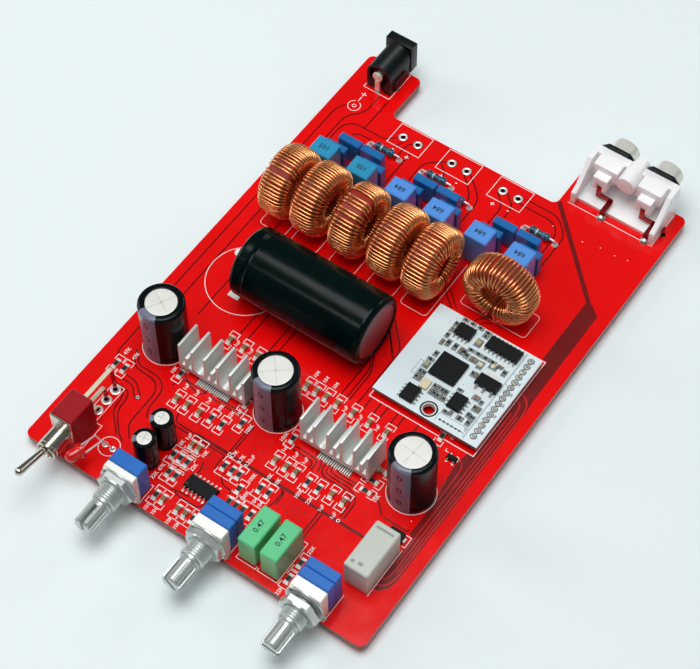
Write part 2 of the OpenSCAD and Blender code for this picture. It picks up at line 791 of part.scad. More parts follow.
module pot_shaft(i) {
  collar_z = collar_clear - pot_front_t[i];
  core_r = shaft_r * 0.84;
  tip = 0.3;
  color("gainsboro")
    translate([pot_x[i], 0, pot_axis_z])
      rotate([90, slot_turn[i], 0])
        difference() {
          union() {
            rotate_extrude()
              polygon([
                [0, collar_z], [collar_r, collar_z], [collar_r, collar_z + collar_t],
                [shaft_r, collar_z + collar_t], [shaft_r, bushing_l + 0.2], [core_r, bushing_l + 0.2],
                [core_r, shaft_reach - tip], [core_r - tip, shaft_reach], [0, shaft_reach]
              ]);
            translate([0, 0, shaft_reach - spline_l])
              linear_extrude(spline_l - tip)
                spline_profile();
          }
          translate([-shaft_r - 1, -slot_w / 2, shaft_reach - spline_l + 0.4])
            cube([2 * shaft_r + 2, slot_w, spline_l]);
        }
}

module pot_nuts() {
  color("silver")
    for (i = [0:2])
      translate([pot_x[i], -washer_t - seat - pot_nut_gap[i], pot_axis_z])
        rotate([90, 30 * (i + 1), 0])
          difference() {
            intersection() {
              cylinder(h = nut_t, r = nut_af / sqrt(3), $fn = 6);
              rotate_extrude()
                polygon([
                  [0, 0], [nut_af / sqrt(3), 0], [nut_af / sqrt(3), nut_t - 0.35],
                  [nut_af / 2, nut_t], [0, nut_t]
                ]);
            }
            translate([0, 0, -1])
              cylinder(h = nut_t + 2, r = bushing_r + seat);
          }
}

module pot_washers() {
  color("silver")
    for (i = [0:2])
      translate([pot_x[i], 0, pot_axis_z])
        rotate([90, 0, 0])
          difference() {
            cylinder(h = washer_t, r = washer_r);
            translate([0, 0, -1])
              cylinder(h = washer_t + 2, r = bushing_r + hole_clear);
            translate([key_inset - pot_w / 2 - hole_clear, key_z - hole_clear, -1])
              cube([key[0] + 2 * hole_clear, pot_h, washer_t + 2]);
          }
}

module pot_terminals() {
  color("silver")
    leads(pot_pins, 0.5);
}

// Green input capacitors, standing side by side
module input_capacitor(i) {
  color("mediumseagreen") {
    block(input_cap_at[i], [input_cap_w, input_cap_d, input_cap_h], 0, 0.8);
    leads(along(input_cap_at[i], 10), eps);
  }
}

module relay() {
  middle = [relay_x + relay_w / 2, relay_y + relay_d / 2];
  color("ivory") {
    block(middle, [relay_w, relay_d, relay_h], 0, 0.35);
    leads(relay_pins, eps);
  }
}

// Can of an electrolytic capacitor: a bead near the base, a round upper edge
module can_profile(r, h) {
  edge = 0.8;
  bead_z = h * 0.1;
  difference() {
    union() {
      square([r - edge, h]);
      square([r, h - edge]);
      translate([r - edge, h - edge])
        circle(edge);
    }
    translate([r + 0.3, bead_z])
      circle(0.8);
  }
}

// Sleeve of an electrolytic capacitor: a tube drawn in over both ends
module sleeve_profile(r, h) {
  lip = 1.2;
  inner = r - sleeve_t;
  translate([inner, 0])
    square([sleeve_t, h]);
  for (z = [0, h - sleeve_t])
    translate([inner - lip, z])
      square([lip + eps, sleeve_t]);
}

module can(r, h) {
  inner = r - sleeve_t - sleeve_clear;
  translate([0, 0, sleeve_t + sleeve_clear])
    rotate_extrude()
      can_profile(inner, h - 2 * sleeve_t - 2 * sleeve_clear);
  cylinder(h = 1, r = inner - 2);
}

module main_can(i) {
  color("silver") {
    translate([main_cap_x[i], amp_row_y, 0])
      can(main_cap_d / 2, main_cap_h);
    leads(beside([main_cap_x[i], amp_row_y], main_pitch), eps);
  }
}

module main_sleeve(i) {
  color("black")
    translate([main_cap_x[i], amp_row_y, 0])
      rotate_extrude()
        sleeve_profile(main_cap_d / 2, main_cap_h);
}

module small_cans() {
  color("silver")
    for (p = small_cap_at) {
      translate([p[0], p[1], 0])
        can(small_cap_d / 2, small_cap_h);
      leads(beside(p, small_pitch), eps);
    }
}

module small_sleeves() {
  color("black")
    for (p = small_cap_at)
      translate([p[0], p[1], 0])
        rotate_extrude()
          sleeve_profile(small_cap_d / 2, small_cap_h);
}

// Reservoir capacitor, lying on the board with its base to the left
module lay_reservoir() {
  translate([reservoir_x, reservoir_y, reservoir_r])
    rotate([0, 90, 0])
      children();
}

module reservoir_can() {
  color("silver")
    lay_reservoir()
      can(reservoir_r, reservoir_l);
}

module reservoir_sleeve() {
  color("black")
    lay_reservoir()
      rotate_extrude()
        sleeve_profile(reservoir_r, reservoir_l);
}

module reservoir_lugs() {
  color("silver")
    for (p = reservoir_lugs_at) {
      translate([p[0], p[1], -board_t])
        cylinder(h = board_t + reservoir_r, r = lead_r);
      translate([p[0], p[1], reservoir_r])
        sphere(lead_r);
      translate([p[0], p[1], reservoir_r])
        rotate([0, 90, 0])
          cylinder(h = reservoir_x - p[0], r = lead_r);
    }
}

// Output chokes: a ring core with round edges and one layer of copper wire
module choke_cores() {
  corner_d = (wire_h + core_clear) * sqrt(2);
  edge = (path_cut / sqrt(2) + wire_h + core_clear - corner_d) / (sqrt(2) - 1) + core_clear;
  color("darkred")
    for (c = choke_at)
      translate([c[0], c[1], choke_lift])
        rotate([0, 90, c[2]])
          rotate_extrude()
            translate([core_in_r, -core_half_w])
              round_square([core_out_r - core_in_r, 2 * core_half_w], edge);
}

module choke_winding(i) {
  n = len(wire_path);
  corners = [[-1, -1], [1, -1], [1, 1], [-1, 1]];
  points = [for (k = [0:n - 1], c = corners) wire_corner(wire_path, k, c[0], c[1])];
  sides = [
    for (k = [0:n - 2], j = [0:3])
      let (a = 4 * k + j, b = 4 * k + (j + 1) % 4)
      each [[a, b, b + 4], [a, b + 4, a + 4]]
  ];
  last = 4 * (n - 1);
  color("peru")
    translate([choke_at[i][0], choke_at[i][1], choke_lift])
      rotate(choke_at[i][2])
        polyhedron(points, concat([[3, 2, 1, 0]], sides, [[last, last + 1, last + 2, last + 3]]));
}

// Blue box capacitors of the output filters
module output_capacitors() {
  color("cornflowerblue")
    for (p = film_at) {
      block(p, [film_w, film_d, film_h]);
      leads(beside(p, film_pitch), eps);
    }
}

module damping_capacitors() {
  color("steelblue")
    for (p = concat(companion_at, thin_at)) {
      block(p, [film_w, thin_d, thin_h], 0, 0.3);
      leads(beside(p, film_pitch), eps);
    }
}

// Wire-ended resistors with bell-shaped ends
module damping_resistors() {
  lift = resistor_end_r + 0.1;
  bell = resistor_body_l * 0.28;
  half = resistor_body_l / 2;
  color("teal")
    for (p = resistor_at) {
      translate([p[0], p[1], lift])
        rotate([0, 90, 0])
          rotate_extrude()
            polygon([
              [0, -half], [resistor_end_r * 0.7, -half], [resistor_end_r, -half + 0.5],
              [resistor_end_r, -half + bell], [resistor_waist_r, -half + bell + 0.5],
              [resistor_waist_r, half - bell - 0.5], [resistor_end_r, half - bell],
              [resistor_end_r, half - 0.5], [resistor_end_r * 0.7, half], [0, half]
            ]);
      feet = beside(p, resistor_pitch);
      wire([
        [feet[0][0], feet[0][1], -board_t], [feet[0][0], feet[0][1], lift],
        [feet[1][0], feet[1][1], lift], [feet[1][0], feet[1][1], -board_t]
      ], lead_r);
    }
}

// Heat sink: extruded fins with a short rib or a round channel between them
module heatsink_profile() {
  fin_n = 6;
  pitch = (heatsink_w - fin_t) / (fin_n - 1);
  gap = pitch - fin_t;
  fin_taper = fin_t * 0.12;
  square([heatsink_w, heatsink_base_t]);
  for (i = [0:fin_n - 1])
    translate([i * pitch, 0])
      polygon([
        [0, 0], [fin_t, 0], [fin_t - fin_taper, heatsink_h], [fin_taper, heatsink_h]
      ]);
  for (i = [0:2:fin_n - 2])
    translate([i * pitch + pitch / 2, 0])
      square([fin_t, heatsink_base_t + rib_h]);
  for (i = [1:2:fin_n - 2])
    translate([i * pitch + fin_t - fin_taper, heatsink_base_t - eps])
      difference() {
        square([gap + 2 * fin_taper, gap / 2]);
        translate([gap / 2 + fin_taper, gap / 2])
          circle(gap / 2);
      }
}

module heatsink(i) {
  color("whitesmoke")
    translate([heatsink_x[i], amp_row_y + heatsink_d / 2, amp_chip_h])
      rotate([90, 0, 0])
        linear_extrude(heatsink_d)
          heatsink_profile();
}

// Chip package with bent leads along its two long sides
module gull_chip(at, size, pins, lead, angle = 0) {
  lift = 0.1;
  t = 0.15;
  pitch = lead[0];
  reach = lead[1] + lift;
  mid = size[2] * 0.45;
  translate([at[0], at[1], at[2]])
    rotate(angle) {
      translate([-size[0] / 2, -size[1] / 2, lift])
        cube([size[0], size[1], size[2] - lift]);
      for (k = [0:pins - 1], side = [0, 1])
        rotate(180 * side)
          translate([(k - (pins - 1) / 2) * pitch + lead[2] / 2, size[1] / 2 - lift, 0])
            rotate([90, 0, -90])
              mirror([1, 0, 0])
                linear_extrude(lead[2])
                  polygon([
                    [0, mid], [0.4, mid], [0.6, 0], [reach, 0], [reach, t],
                    [0.7, t], [0.5, mid + t], [0, mid + t]
                  ]);
    }
}

// Body, lead pitch, lead reach and lead width of the usual packages
amp_pins = 16;
amp_lead = [0.65, 1.2, 0.3];
so_body = [4.9, 3.9, 1.5];
so_long_body = [9.9, 3.9, 1.5];
so_lead = [1.27, 1, 0.42];
preamp_at = [pot_middle_x - 12.3, 13.1, 0];
preamp_body = [8.7, 3.9, 1.5];
transistor_at = [main_cap_x[2] + 3.1, amp_row_y + 14.1, 0];
transistor_body = [2.9, 1.4, 1.1];
transistor_lead = [1.9, 0.6, 0.45];
diode_body = [4.4, 2.6, 2.2];
diode_at = [relay_x + relay_w / 2 + 1.3, relay_y + relay_d + 2.9];

module integrated_circuits() {
  color("dimgray") {
    for (x = amp_chip_x)
      gull_chip([x, amp_row_y, 0], [amp_chip_l, amp_chip_w, amp_chip_h], amp_pins, amp_lead);
    gull_chip(preamp_at, preamp_body, 7, so_lead);
    gull_chip(transistor_at, transistor_body, 2, transistor_lead);
    translate([diode_at[0] - diode_body[0] / 2, diode_at[1] - diode_body[1] / 2, 0])
      cube(diode_body);
  }
}

// Chips of the front part, from the middle potentiometer's centre line and the front edge
front_resistor_at = [
  [-24.5, 17.2], [-22.3, 17.3], [-20.1, 17.3], [-22.3, 12.4], [-20.1, 12.4], [-20.9, 5.2], [-8.9, 5],
  [-11.6, 22],
  [-9.1, 22], [-6.9, 22], [-4.4, 18.7], [-0.1, 22], [2.5, 22], [-4.4, 14.3], [-2.2, 14.3], [0, 14.3],
  [2.5, 14.3], [21.1, 10.5], [21.1, 5.2]
];
front_capacitor_at = [
  [-22.3, 22.3], [-20.1, 22.3], [-18.5, 5.2], [-13.7, 5], [-11.3, 5]
];
// Chips of the amplifier row: a main capacitor's number, the place from its centre, 1 across the board
row_resistor_at = [
  [0, -7.5, -12.6, 0], [0, -4.6, -12.6, 0], [0, 8.8, -5.3, 0], [1, -13.2, -11.7, 0], [1, -9.7, -11.8, 0],
  [1, -5.7, -8.4, 0], [1, 18.8, -12.9, 0], [1, 22.2, -12.9, 0], [1, 8.1, -4.5, 0], [1, -8.3, -2.8, 0],
  [2, -2.7, 18.3, 0], [2, -9.9, -6.5, 1], [2, -10, -3.1, 1]
];
row_capacitor_at = [
  [0, 12.6, -12.1, 0], [0, 16.1, -12.1, 0], [1, -16.9, -12.1, 0], [1, 8.1, -12.3, 0], [1, 11.6, -12.3, 0],
  [1, 14.6, -12.3, 0], [2, -16.3, -12.3, 0], [2, -12.6, -12.3, 0], [0, 13.1, 10.9, 0], [0, 17.7, 10.9, 0],
  [1, -14.8, 10.9, 0], [1, 1.6, 10.9, 0], [1, 4.6, 10.9, 0], [1, 7.8, 10.9, 0], [1, 11.4, 10.9, 0],
  [1, 16.4, 10.9, 0], [1, 21.6, 10.9, 0], [2, -15.2, 10.9, 0], [2, -9.6, 0.6, 1]
];
function chip_places(front, row) = concat(
  [for (c = front) [pot_middle_x + c[0], c[1], 0]],
  [for (c = row) [main_cap_x[c[0]] + c[1], amp_row_y + c[2], c[3]]]);

module chip_resistors() {
  color("black")
    for (c = chip_places(front_resistor_at, row_resistor_at))
      translate([c[0], c[1], 0])
        rotate(90 * c[2])
          translate([-smd_w / 2, -smd_l / 2, 0])
            cube([smd_w, smd_l, smd_h]);
}

module chip_capacitors() {
  color("saddlebrown")
    for (c = chip_places(front_capacitor_at, row_capacitor_at))
      translate([c[0], c[1], 0])
        rotate(90 * c[2])
          block([0, 0], [smd_w, smd_l, smd_h * 1.6], 0, 0.15);
}

// Wireless module on a row of pins
module_top = module_lift + module_t;
module_hole_at = [16, 2.9];

module module_board() {
  color("white")
    translate([module_x, module_y, module_lift])
      linear_extrude(module_t)
        difference() {
          square([module_w, module_d]);
          translate(module_hole_at)
            circle(1.5);
          for (p = header_pins)
            translate([p[0] - module_x, p[1] - module_y])
              circle(lead_r + hole_clear);
        }
}

regulator_body = [6.5, 3.5, 1.6];
regulator_lead = [2.3, 1.4, 0.75];
processor_body = [8, 8, 1];
crystal_body = [2.5, 3.2, 0.8];

module module_chips() {
  at = [module_x, module_y, module_top];
  color("black") {
    gull_chip(at + [9.4, 3.9, 0], so_body, 4, so_lead, 90);
    gull_chip(at + [21.1, 8.7, 0], so_body, 4, so_lead, 90);
    gull_chip(at + [10.7, 28.2, 0], so_body, 4, so_lead);
    gull_chip(at + [22.2, 29.3, 0], so_long_body, 8, so_lead);
    gull_chip(at + [24.6, 17.9, 0], regulator_body, 3, regulator_lead);
    block(at + [13.5, 16, 0], processor_body, module_top, 0.2);
    block(at + [11, 8.7, 0], crystal_body, module_top, 0.1);
  }
}

module module_header() {
  strip_w = 2;
  pin_over = 0.5;
  color("dimgray") {
    translate([header_x - strip_w / 2, header_y - header_pitch / 2, 0])
      cube([strip_w, header_n * header_pitch, module_lift]);
    leads(header_pins, module_top + pin_over);
  }
}

// Power jack: a barrel that squares off towards the board, and a flange with cut lower corners
module dc_jack_housing() {
  cut = 2;
  recess_l = 1.6;
  bore_l = dc_barrel_l + dc_flange_t - recess_l - 1.5;
  color("darkslategray")
    difference() {
      union() {
        along_y([dc_x, dc_back_y, dc_axis_z], dc_barrel_l + eps, dc_barrel_r);
        translate([dc_x - dc_barrel_r, dc_back_y, 0])
          cube([2 * dc_barrel_r, dc_barrel_l + eps, dc_axis_z]);
        translate([dc_x - dc_w / 2, board_d + dc_flange_t, 0])
          rotate([90, 0, 0])
            linear_extrude(dc_flange_t)
              polygon([
                [cut, -board_t / 2], [dc_w - cut, -board_t / 2], [dc_w, cut - board_t / 2], [dc_w, dc_h],
                [0, dc_h], [0, cut - board_t / 2]
              ]);
      }
      along_y([dc_x, board_d + dc_flange_t - bore_l, dc_axis_z], bore_l + 1, dc_bore_r);
      along_y([dc_x, dc_back_y - 1, dc_axis_z], recess_l + 1, dc_barrel_r - 0.9);
      along_y([dc_x, dc_back_y, dc_axis_z], dc_barrel_l, dc_pin_r + seat);
      translate([dc_x - terminal_w, dc_back_y - 1, -eps])
        cube([2 * terminal_w, recess_l + 1, dc_axis_z]);
      translate([dc_x - terminal_w / 2 - hole_clear, dc_lugs[1][1] - terminal_t / 2 - hole_clear, -eps])
        cube([terminal_w + 2 * hole_clear, terminal_t + 2 * hole_clear, 2]);
      translate([
        dc_lugs[2][0] - terminal_t / 2 - hole_clear, dc_lugs[2][1] - terminal_w / 2 - hole_clear, -eps
      ])
        cube([dc_w, terminal_w + 2 * hole_clear, 4]);
    }
}

module dc_jack_contacts() {
  pin_back = dc_back_y - terminal_t - 0.1;
  pin_l = dc_barrel_l + dc_flange_t - 0.8;
  color("silver") {
    along_y([dc_x, pin_back + terminal_t / 2, dc_axis_z], pin_l, dc_pin_r);
    along_y([dc_x, pin_back + pin_l + terminal_t / 2, dc_axis_z], dc_pin_r * 0.5, dc_pin_r * 0.6);
    along_y([dc_x, pin_back, dc_axis_z], terminal_t, terminal_w);
    translate([dc_x - terminal_w / 2, pin_back, -board_t])
      cube([terminal_w, terminal_t, board_t + dc_axis_z]);
    translate([dc_x - terminal_w / 2, dc_lugs[1][1] - terminal_t / 2, -board_t])
      cube([terminal_w, terminal_t, board_t + 1.8]);
    translate([dc_lugs[2][0] - terminal_t / 2, dc_lugs[2][1] - terminal_w / 2, -board_t])
      cube([terminal_t, terminal_w, board_t + 3.8]);
  }
}

// Twin phono socket
phono_socket_x = [for (s = [-1, 1]) phono_x + s * phono_pitch / 2];
phono_rear_t = 2.6;
phono_block = [4.4, 6.6, 4.6];
phono_ear = 1.5;
phono_brow_d = 4;
phono_boss_r = 2.8;
phono_boss_z = phono_h - phono_boss_r + 1.1;
phono_boss_l = 5;
phono_nose_l = 2.4;
phono_nose_r = 2.3;
phono_pilot_r = 1.25;
shell_wall = 0.5;

module phono_housing() {
  rear_y = board_d - phono_rear_t;
  color("white")
    difference() {
      union() {
        for (s = [-1, 1])
          translate([phono_x + s * (phono_w - phono_wall) / 2 - phono_wall / 2, 0, 0])
            rotate([90, 0, 90])
              linear_extrude(phono_wall)
                polygon([
                  [phono_y, 0], [board_d, 0], [board_d, phono_h], [rear_y - 3, phono_h],
                  [phono_y + 2.4, phono_h * 0.45], [phono_y, phono_h * 0.35]
                ]);
        translate([phono_x - phono_w / 2, rear_y, 0])
          cube([phono_w, phono_rear_t, phono_h]);
        translate([phono_x - phono_w / 2, phono_y + 1.6, 0])
          cube([phono_w, phono_d - 1.6, 1.2]);
        for (x = phono_socket_x) {
          translate([x - phono_block[0] / 2, rear_y - phono_block[1], phono_axis_z - phono_block[2] / 2])
            cube([phono_block[0], phono_block[1] + eps, phono_block[2]]);
          translate([x - phono_block[0] / 2 - phono_ear, rear_y - phono_brow_d, phono_axis_z])
            cube([phono_block[0] + 2 * phono_ear, phono_brow_d + eps, phono_h - phono_axis_z]);
          along_y([x, board_d - eps, phono_axis_z], spacer_t + phono_shell_l - 0.6,
                  phono_shell_r - shell_wall - 0.1);
        }
        along_y([phono_x, rear_y - phono_boss_l, phono_boss_z], phono_boss_l + phono_rear_t, phono_boss_r);
        along_y([phono_x, board_d - eps, phono_boss_z], phono_nose_l + eps, phono_nose_r);
      }
      for (x = phono_socket_x) {
        along_y([x, board_d - 6, phono_axis_z], 6 + spacer_t + phono_shell_l + 1, phono_bore_r);
        translate([x - 0.9, rear_y - phono_block[1] - 1, phono_axis_z - phono_block[2] / 2 - 1])
          cube([1.8, 3, phono_block[2] / 2 + 1.2]);
      }
      along_y([phono_x, rear_y, phono_boss_z], phono_rear_t + phono_nose_l + 1, phono_pilot_r);
    }
}

module phono_shells() {
  color("silver")
    for (x = phono_socket_x)
      difference() {
        along_y([x, board_d + spacer_t, phono_axis_z], phono_shell_l, phono_shell_r);
        along_y([x, board_d + spacer_t - 1, phono_axis_z], phono_shell_l + 2, phono_shell_r - shell_wall);
      }
}

module phono_contacts() {
  strip_t = 0.5;
  strip_w = phono_strip_w;
  low = 2.2;
  top = phono_axis_z - phono_block[2] / 2 + 0.6;
  rear_y = board_d - phono_rear_t - phono_block[1] + 0.3;
  color("silver") {
    for (i = [0, 1]) {
      foot = phono_signal[i];
      x = phono_socket_x[i];
      translate([x - strip_w / 2, rear_y, low])
        cube([strip_w, strip_t, top - low]);
      translate([x - strip_w / 2, rear_y, low])
        cube([foot[0] - x + strip_w, strip_t, strip_w]);
      translate([foot[0] - strip_w / 2, foot[1] - strip_t / 2, low])
        cube([strip_w, rear_y + strip_t - foot[1] + strip_t / 2, strip_t]);
      translate([foot[0] - strip_w / 2, foot[1] - strip_t / 2, -board_t])
        cube([strip_w, strip_t, board_t + low + strip_t]);
    }
    for (i = [0, 1])
      translate([phono_ground[i][0] - strip_t / 2, phono_ground[i][1] - strip_w / 2, -board_t])
        cube([strip_t, strip_w, board_t + 3]);
  }
}

module phono_spacers() {
  half = phono_shell_r + 1.4;
  cut = 2.2;
  color("black")
    for (x = phono_socket_x)
      difference() {
        translate([x, board_d, phono_axis_z])
          rotate([-90, 0, 0])
            linear_extrude(spacer_t)
              difference() {
                polygon([
                  [-half, -half + cut], [-half + cut, -half], [half - cut, -half], [half, -half + cut],
                  [half, half - cut], [half - cut, half], [-half + cut, half], [-half, half - cut]
                ]);
                circle(phono_shell_r - shell_wall + 0.1);
              }
        along_y([phono_x, board_d - 1, phono_boss_z], spacer_t + 2, phono_nose_r + hole_clear);
      }
}

on_board() {
  circuit_board();
  solder_joints();
  lug_joints();
  toggle_body();
  toggle_bushing();
  toggle_lever();
  toggle_terminals();
  lamp_lens();
  lamp_leads();
  pot_body(0);  // pot_left_body
  pot_body(1);  // pot_middle_body
  pot_body(2);  // pot_right_body
  pot_bushing(0);  // pot_left_bushing
  pot_bushing(1);  // pot_middle_bushing
  pot_bushing(2);  // pot_right_bushing
  pot_shaft(0);  // pot_left_shaft
  pot_shaft(1);  // pot_middle_shaft
  pot_shaft(2);  // pot_right_shaft
  pot_nuts();
  pot_washers();
  pot_terminals();
  input_capacitor(0);  // input_capacitor_left
  input_capacitor(1);  // input_capacitor_right
  relay();
  main_can(0);  // main_can_left
  main_can(1);  // main_can_middle
  main_can(2);  // main_can_right
  main_sleeve(0);  // main_sleeve_left
  main_sleeve(1);  // main_sleeve_middle
  main_sleeve(2);  // main_sleeve_right
  small_cans();
  small_sleeves();
  reservoir_can();
  reservoir_sleeve();
  reservoir_lugs();
  choke_cores();
  choke_winding(0);  // choke_winding_1
  choke_winding(1);  // choke_winding_2
  choke_winding(2);  // choke_winding_3
  choke_winding(3);  // choke_winding_4
  choke_winding(4);  // choke_winding_5
  choke_winding(5);  // choke_winding_6
  output_capacitors();
  damping_capacitors();
  damping_resistors();
  heatsink(0);  // heatsink_left
  heatsink(1);  // heatsink_right
  integrated_circuits();
  chip_resistors();
  chip_capacitors();
  module_board();
  module_chips();
  module_header();
  phono_housing();
  phono_shells();
  phono_contacts();
  phono_spacers();
  dc_jack_housing();
  dc_jack_contacts();
}
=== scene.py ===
"""Looks for the audio amplifier board. Places are in board millimetres: X from the board's left edge,
Y from its front edge and Z from its upper face, turned into the frame's metres when a piece is made."""
import math
import random
from itertools import product

import bmesh
import bpy
from mathutils import Matrix, Vector


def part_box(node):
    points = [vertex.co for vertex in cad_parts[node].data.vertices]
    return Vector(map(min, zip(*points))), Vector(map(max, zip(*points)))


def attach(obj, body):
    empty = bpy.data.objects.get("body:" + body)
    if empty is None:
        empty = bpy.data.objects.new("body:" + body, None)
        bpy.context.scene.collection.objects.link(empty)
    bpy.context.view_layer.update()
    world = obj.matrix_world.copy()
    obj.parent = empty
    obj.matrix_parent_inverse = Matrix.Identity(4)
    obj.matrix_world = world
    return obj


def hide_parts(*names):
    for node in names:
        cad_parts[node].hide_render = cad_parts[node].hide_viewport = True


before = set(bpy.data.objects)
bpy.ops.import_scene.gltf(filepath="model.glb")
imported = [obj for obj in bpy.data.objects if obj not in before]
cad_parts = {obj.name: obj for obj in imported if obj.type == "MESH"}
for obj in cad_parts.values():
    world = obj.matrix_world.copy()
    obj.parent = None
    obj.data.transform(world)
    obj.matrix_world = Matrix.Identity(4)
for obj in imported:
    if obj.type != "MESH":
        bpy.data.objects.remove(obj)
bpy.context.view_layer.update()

MM = 0.001
BOARD_LOW, BOARD_HIGH = (Vector(corner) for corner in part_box("circuit_board"))
ORIGIN = Vector((BOARD_LOW.x, BOARD_LOW.y, BOARD_HIGH.z))
BOARD_D = (BOARD_HIGH.y - BOARD_LOW.y) / MM
BOARD_T = (BOARD_HIGH.z - BOARD_LOW.z) / MM
RIGHT, REAR, UP = (1, 0, 0), (0, 1, 0), (0, 0, 1)
SIDES = (-1, 1)
CORNERS = ((-1, -1), (1, -1), (1, 1), (-1, 1))

# Radius at which a turned profile ends on its axis
AXIS = 0.001
# Height of print above the face it lies on
PRINT = 0.012
LEAD_R = 0.3
HALF_PITCH = 2.54

SPEAKER_X, SPEAKER_Y = (28, 44.8, 62.1), 138.9
RESISTOR_AT = ((24.2, 131.2), (42, 131.2), (76.5, 131.2), (50, 128.4))
RESISTOR_REACH = 5.08
FILM_GROUPS = (20.8, 46.4, 72.8)
FILM_X = [x + s * 6.35 for x in FILM_GROUPS for s in SIDES]
TOGGLE_X, TOGGLE_Z = 11.2, 6.5
TOGGLE_PINS = ((16.6, 2.2), (20.35, 6.5), (24.1, 10.8))
PHONO_X, PHONO_Z = (83.4, 97.4), 8
POT_NAMES = ("left", "middle", "right")


def to_frame(point):
    """Board millimetres to frame metres."""
    return ORIGIN + Vector(point) * MM


def node_box(node):
    """Lowest and highest corner of a CAD node in board millimetres."""
    low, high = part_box(node)
    return (Vector(low) - ORIGIN) / MM, (Vector(high) - ORIGIN) / MM


def node_middle(node):
    low, high = node_box(node)
    return (low + high) / 2


# Materials

MATS = {}


def srgb(r, g, b):
    """Display colour, 0 to 255, as a linear colour."""
    def linear(c):
        c /= 255
        return c / 12.92 if c <= 0.04045 else ((c + 0.055) / 1.055) ** 2.4
    return (linear(r), linear(g), linear(b), 1.0)


def fill(node, values):
    """Sets inputs of a shader node."""
    for name, value in values.items():
        node.inputs[name].default_value = value


class Paint:
    """A procedural material: colour varied by noise, roughness varied by noise, and a fine bump."""

    def __init__(self, name, color, rough, metal=0.0, vary=0.08, grain=900.0, bump=0.05,
                 rough_vary=0.08, coat=0.0, ior=1.45, stretch=(1, 1, 1)):
        self.mat = bpy.data.materials.new(name)
        self.mat.use_nodes = True
        self.nodes = self.mat.node_tree.nodes
        self.shader = self.nodes["Principled BSDF"]
        fill(self.shader, {"Metallic": metal, "IOR": ior, "Coat Weight": coat, "Coat Roughness": 0.08})
        self.map = self.node("Mapping", {"Scale": stretch})
        self.link(self.node("TexCoord"), "Object", self.map, "Vector")
        soft = self.noise(grain * 0.12, 3)
        fine = self.noise(grain, 4)
        linear = srgb(*color)[:3]
        self.color = self.mix(soft, [c * (1 - vary) for c in linear] + [1],
                              [min(1, c * (1 + vary)) for c in linear] + [1])
        self.link(self.color, "Color", self.shader, "Base Color")
        low, high = max(0.02, rough - rough_vary), min(1, rough + rough_vary)
        spread = self.node("MapRange", {"To Min": low, "To Max": high})
        self.link(fine, "Fac", spread, "Value")
        self.link(spread, "Result", self.shader, "Roughness")
        if bump:
            relief = self.node("Bump", {"Strength": bump, "Distance": 0.0001})
            self.link(fine, "Fac", relief, "Height")
            self.link(relief, "Normal", self.shader, "Normal")

    def node(self, kind, values=None):
        node = self.nodes.new("ShaderNode" + kind)
        fill(node, values or {})
        return node

    def link(self, a, out, b, into):
        self.mat.node_tree.links.new(a.outputs[out], b.inputs[into])

    def noise(self, scale, detail):
        node = self.node("TexNoise", {"Scale": scale, "Detail": detail})
        self.link(self.map, "Vector", node, "Vector")
        return node

    def mix(self, factor, low, high):
        ramp = self.node("ValToRGB")
        for stop, place, color in zip(ramp.color_ramp.elements, (0.3, 0.7), (low, high)):
            stop.position = place
            stop.color = color
        self.link(factor, "Fac", ramp, "Fac")
        return ramp


def board_paint():
    """Glossy mask on the faces, bare glass fibre on the cut edges."""
    paint = Paint("mask", (236, 8, 9), 0.16, vary=0.06, grain=260, bump=0.02)
    parts = paint.node("SeparateXYZ")
    paint.link(paint.node("NewGeometry"), "Normal", parts, "Vector")
    steep = paint.node("Math")
    steep.operation = "ABSOLUTE"
    paint.link(parts, "Z", steep, 0)
    level = paint.node("Math", {1: 0.5})
    level.operation = "GREATER_THAN"
    paint.link(steep, 0, level, 0)
    fibre = paint.mix(paint.noise(1400, 5), srgb(66, 18, 16), srgb(112, 48, 38))
    choose = paint.node("Mix")
    choose.data_type = "RGBA"
    first, second, result = 6, 7, 2
    paint.link(level, 0, choose, "Factor")
    paint.link(fibre, "Color", choose, first)
    paint.link(paint.color, "Color", choose, second)
    paint.link(choose, result, paint.shader, "Base Color")
    MATS["mask"] = paint.mat


def lens_paint():
    paint = Paint("lens", (216, 16, 18), 0.16, grain=500, bump=0.02, coat=0.25)
    fill(paint.shader, {"Transmission Weight": 0.12, "IOR": 1.5})
    MATS["lens"] = paint.mat


def look(name, color, rough, **more):
    MATS[name] = Paint(name, color, rough, **more).mat


board_paint()
lens_paint()

# Board: mask over gaps and tracks, legend, vias, pads and solder
look("gap", (112, 6, 8), 0.2, vary=0.12, grain=300, coat=0.4)
look("band", (118, 16, 18), 0.22, vary=0.15, grain=300, coat=0.4)
look("trace", (208, 34, 34), 0.2, grain=300, coat=0.3)
look("silk", (246, 236, 234), 0.55, vary=0.05, grain=2200, bump=0.2)
look("via", (62, 6, 6), 0.35, vary=0.2)
# Dark grey painted shade, put inside bores and holes and in the crease where a joint meets its pin
look("hole", (40, 44, 46), 0.7, vary=0.2, grain=600)
look("pad", (240, 239, 232), 0.34, metal=0.45, vary=0.1, grain=1100, bump=0.3)
look("tin", (238, 238, 234), 0.3, metal=0.5, grain=1500, bump=0.15)
look("lead", (196, 198, 196), 0.28, metal=0.9)
look("end_tin", (146, 150, 146), 0.36, metal=0.35, vary=0.1, grain=1500)

# Chips, and print on them
look("ceramic_black", (18, 22, 22), 0.35, vary=0.2, grain=1600, bump=0.1)
look("ceramic_white", (222, 220, 214), 0.6, vary=0.06, grain=1600)
look("ceramic_brown", (140, 104, 66), 0.42, vary=0.12, grain=1300)
look("olive", (176, 168, 118), 0.4, grain=1300)
look("crystal", (226, 214, 178), 0.4, vary=0.05)
look("epoxy", (8, 13, 14), 0.5, vary=0.18, grain=2600, bump=0.12, ior=1.28)
look("mark", (58, 60, 60), 0.5, vary=0.1, grain=1800)
look("ink", (16, 40, 40), 0.5, vary=0.1, grain=1500)
look("print", (150, 152, 146), 0.5, grain=1500)

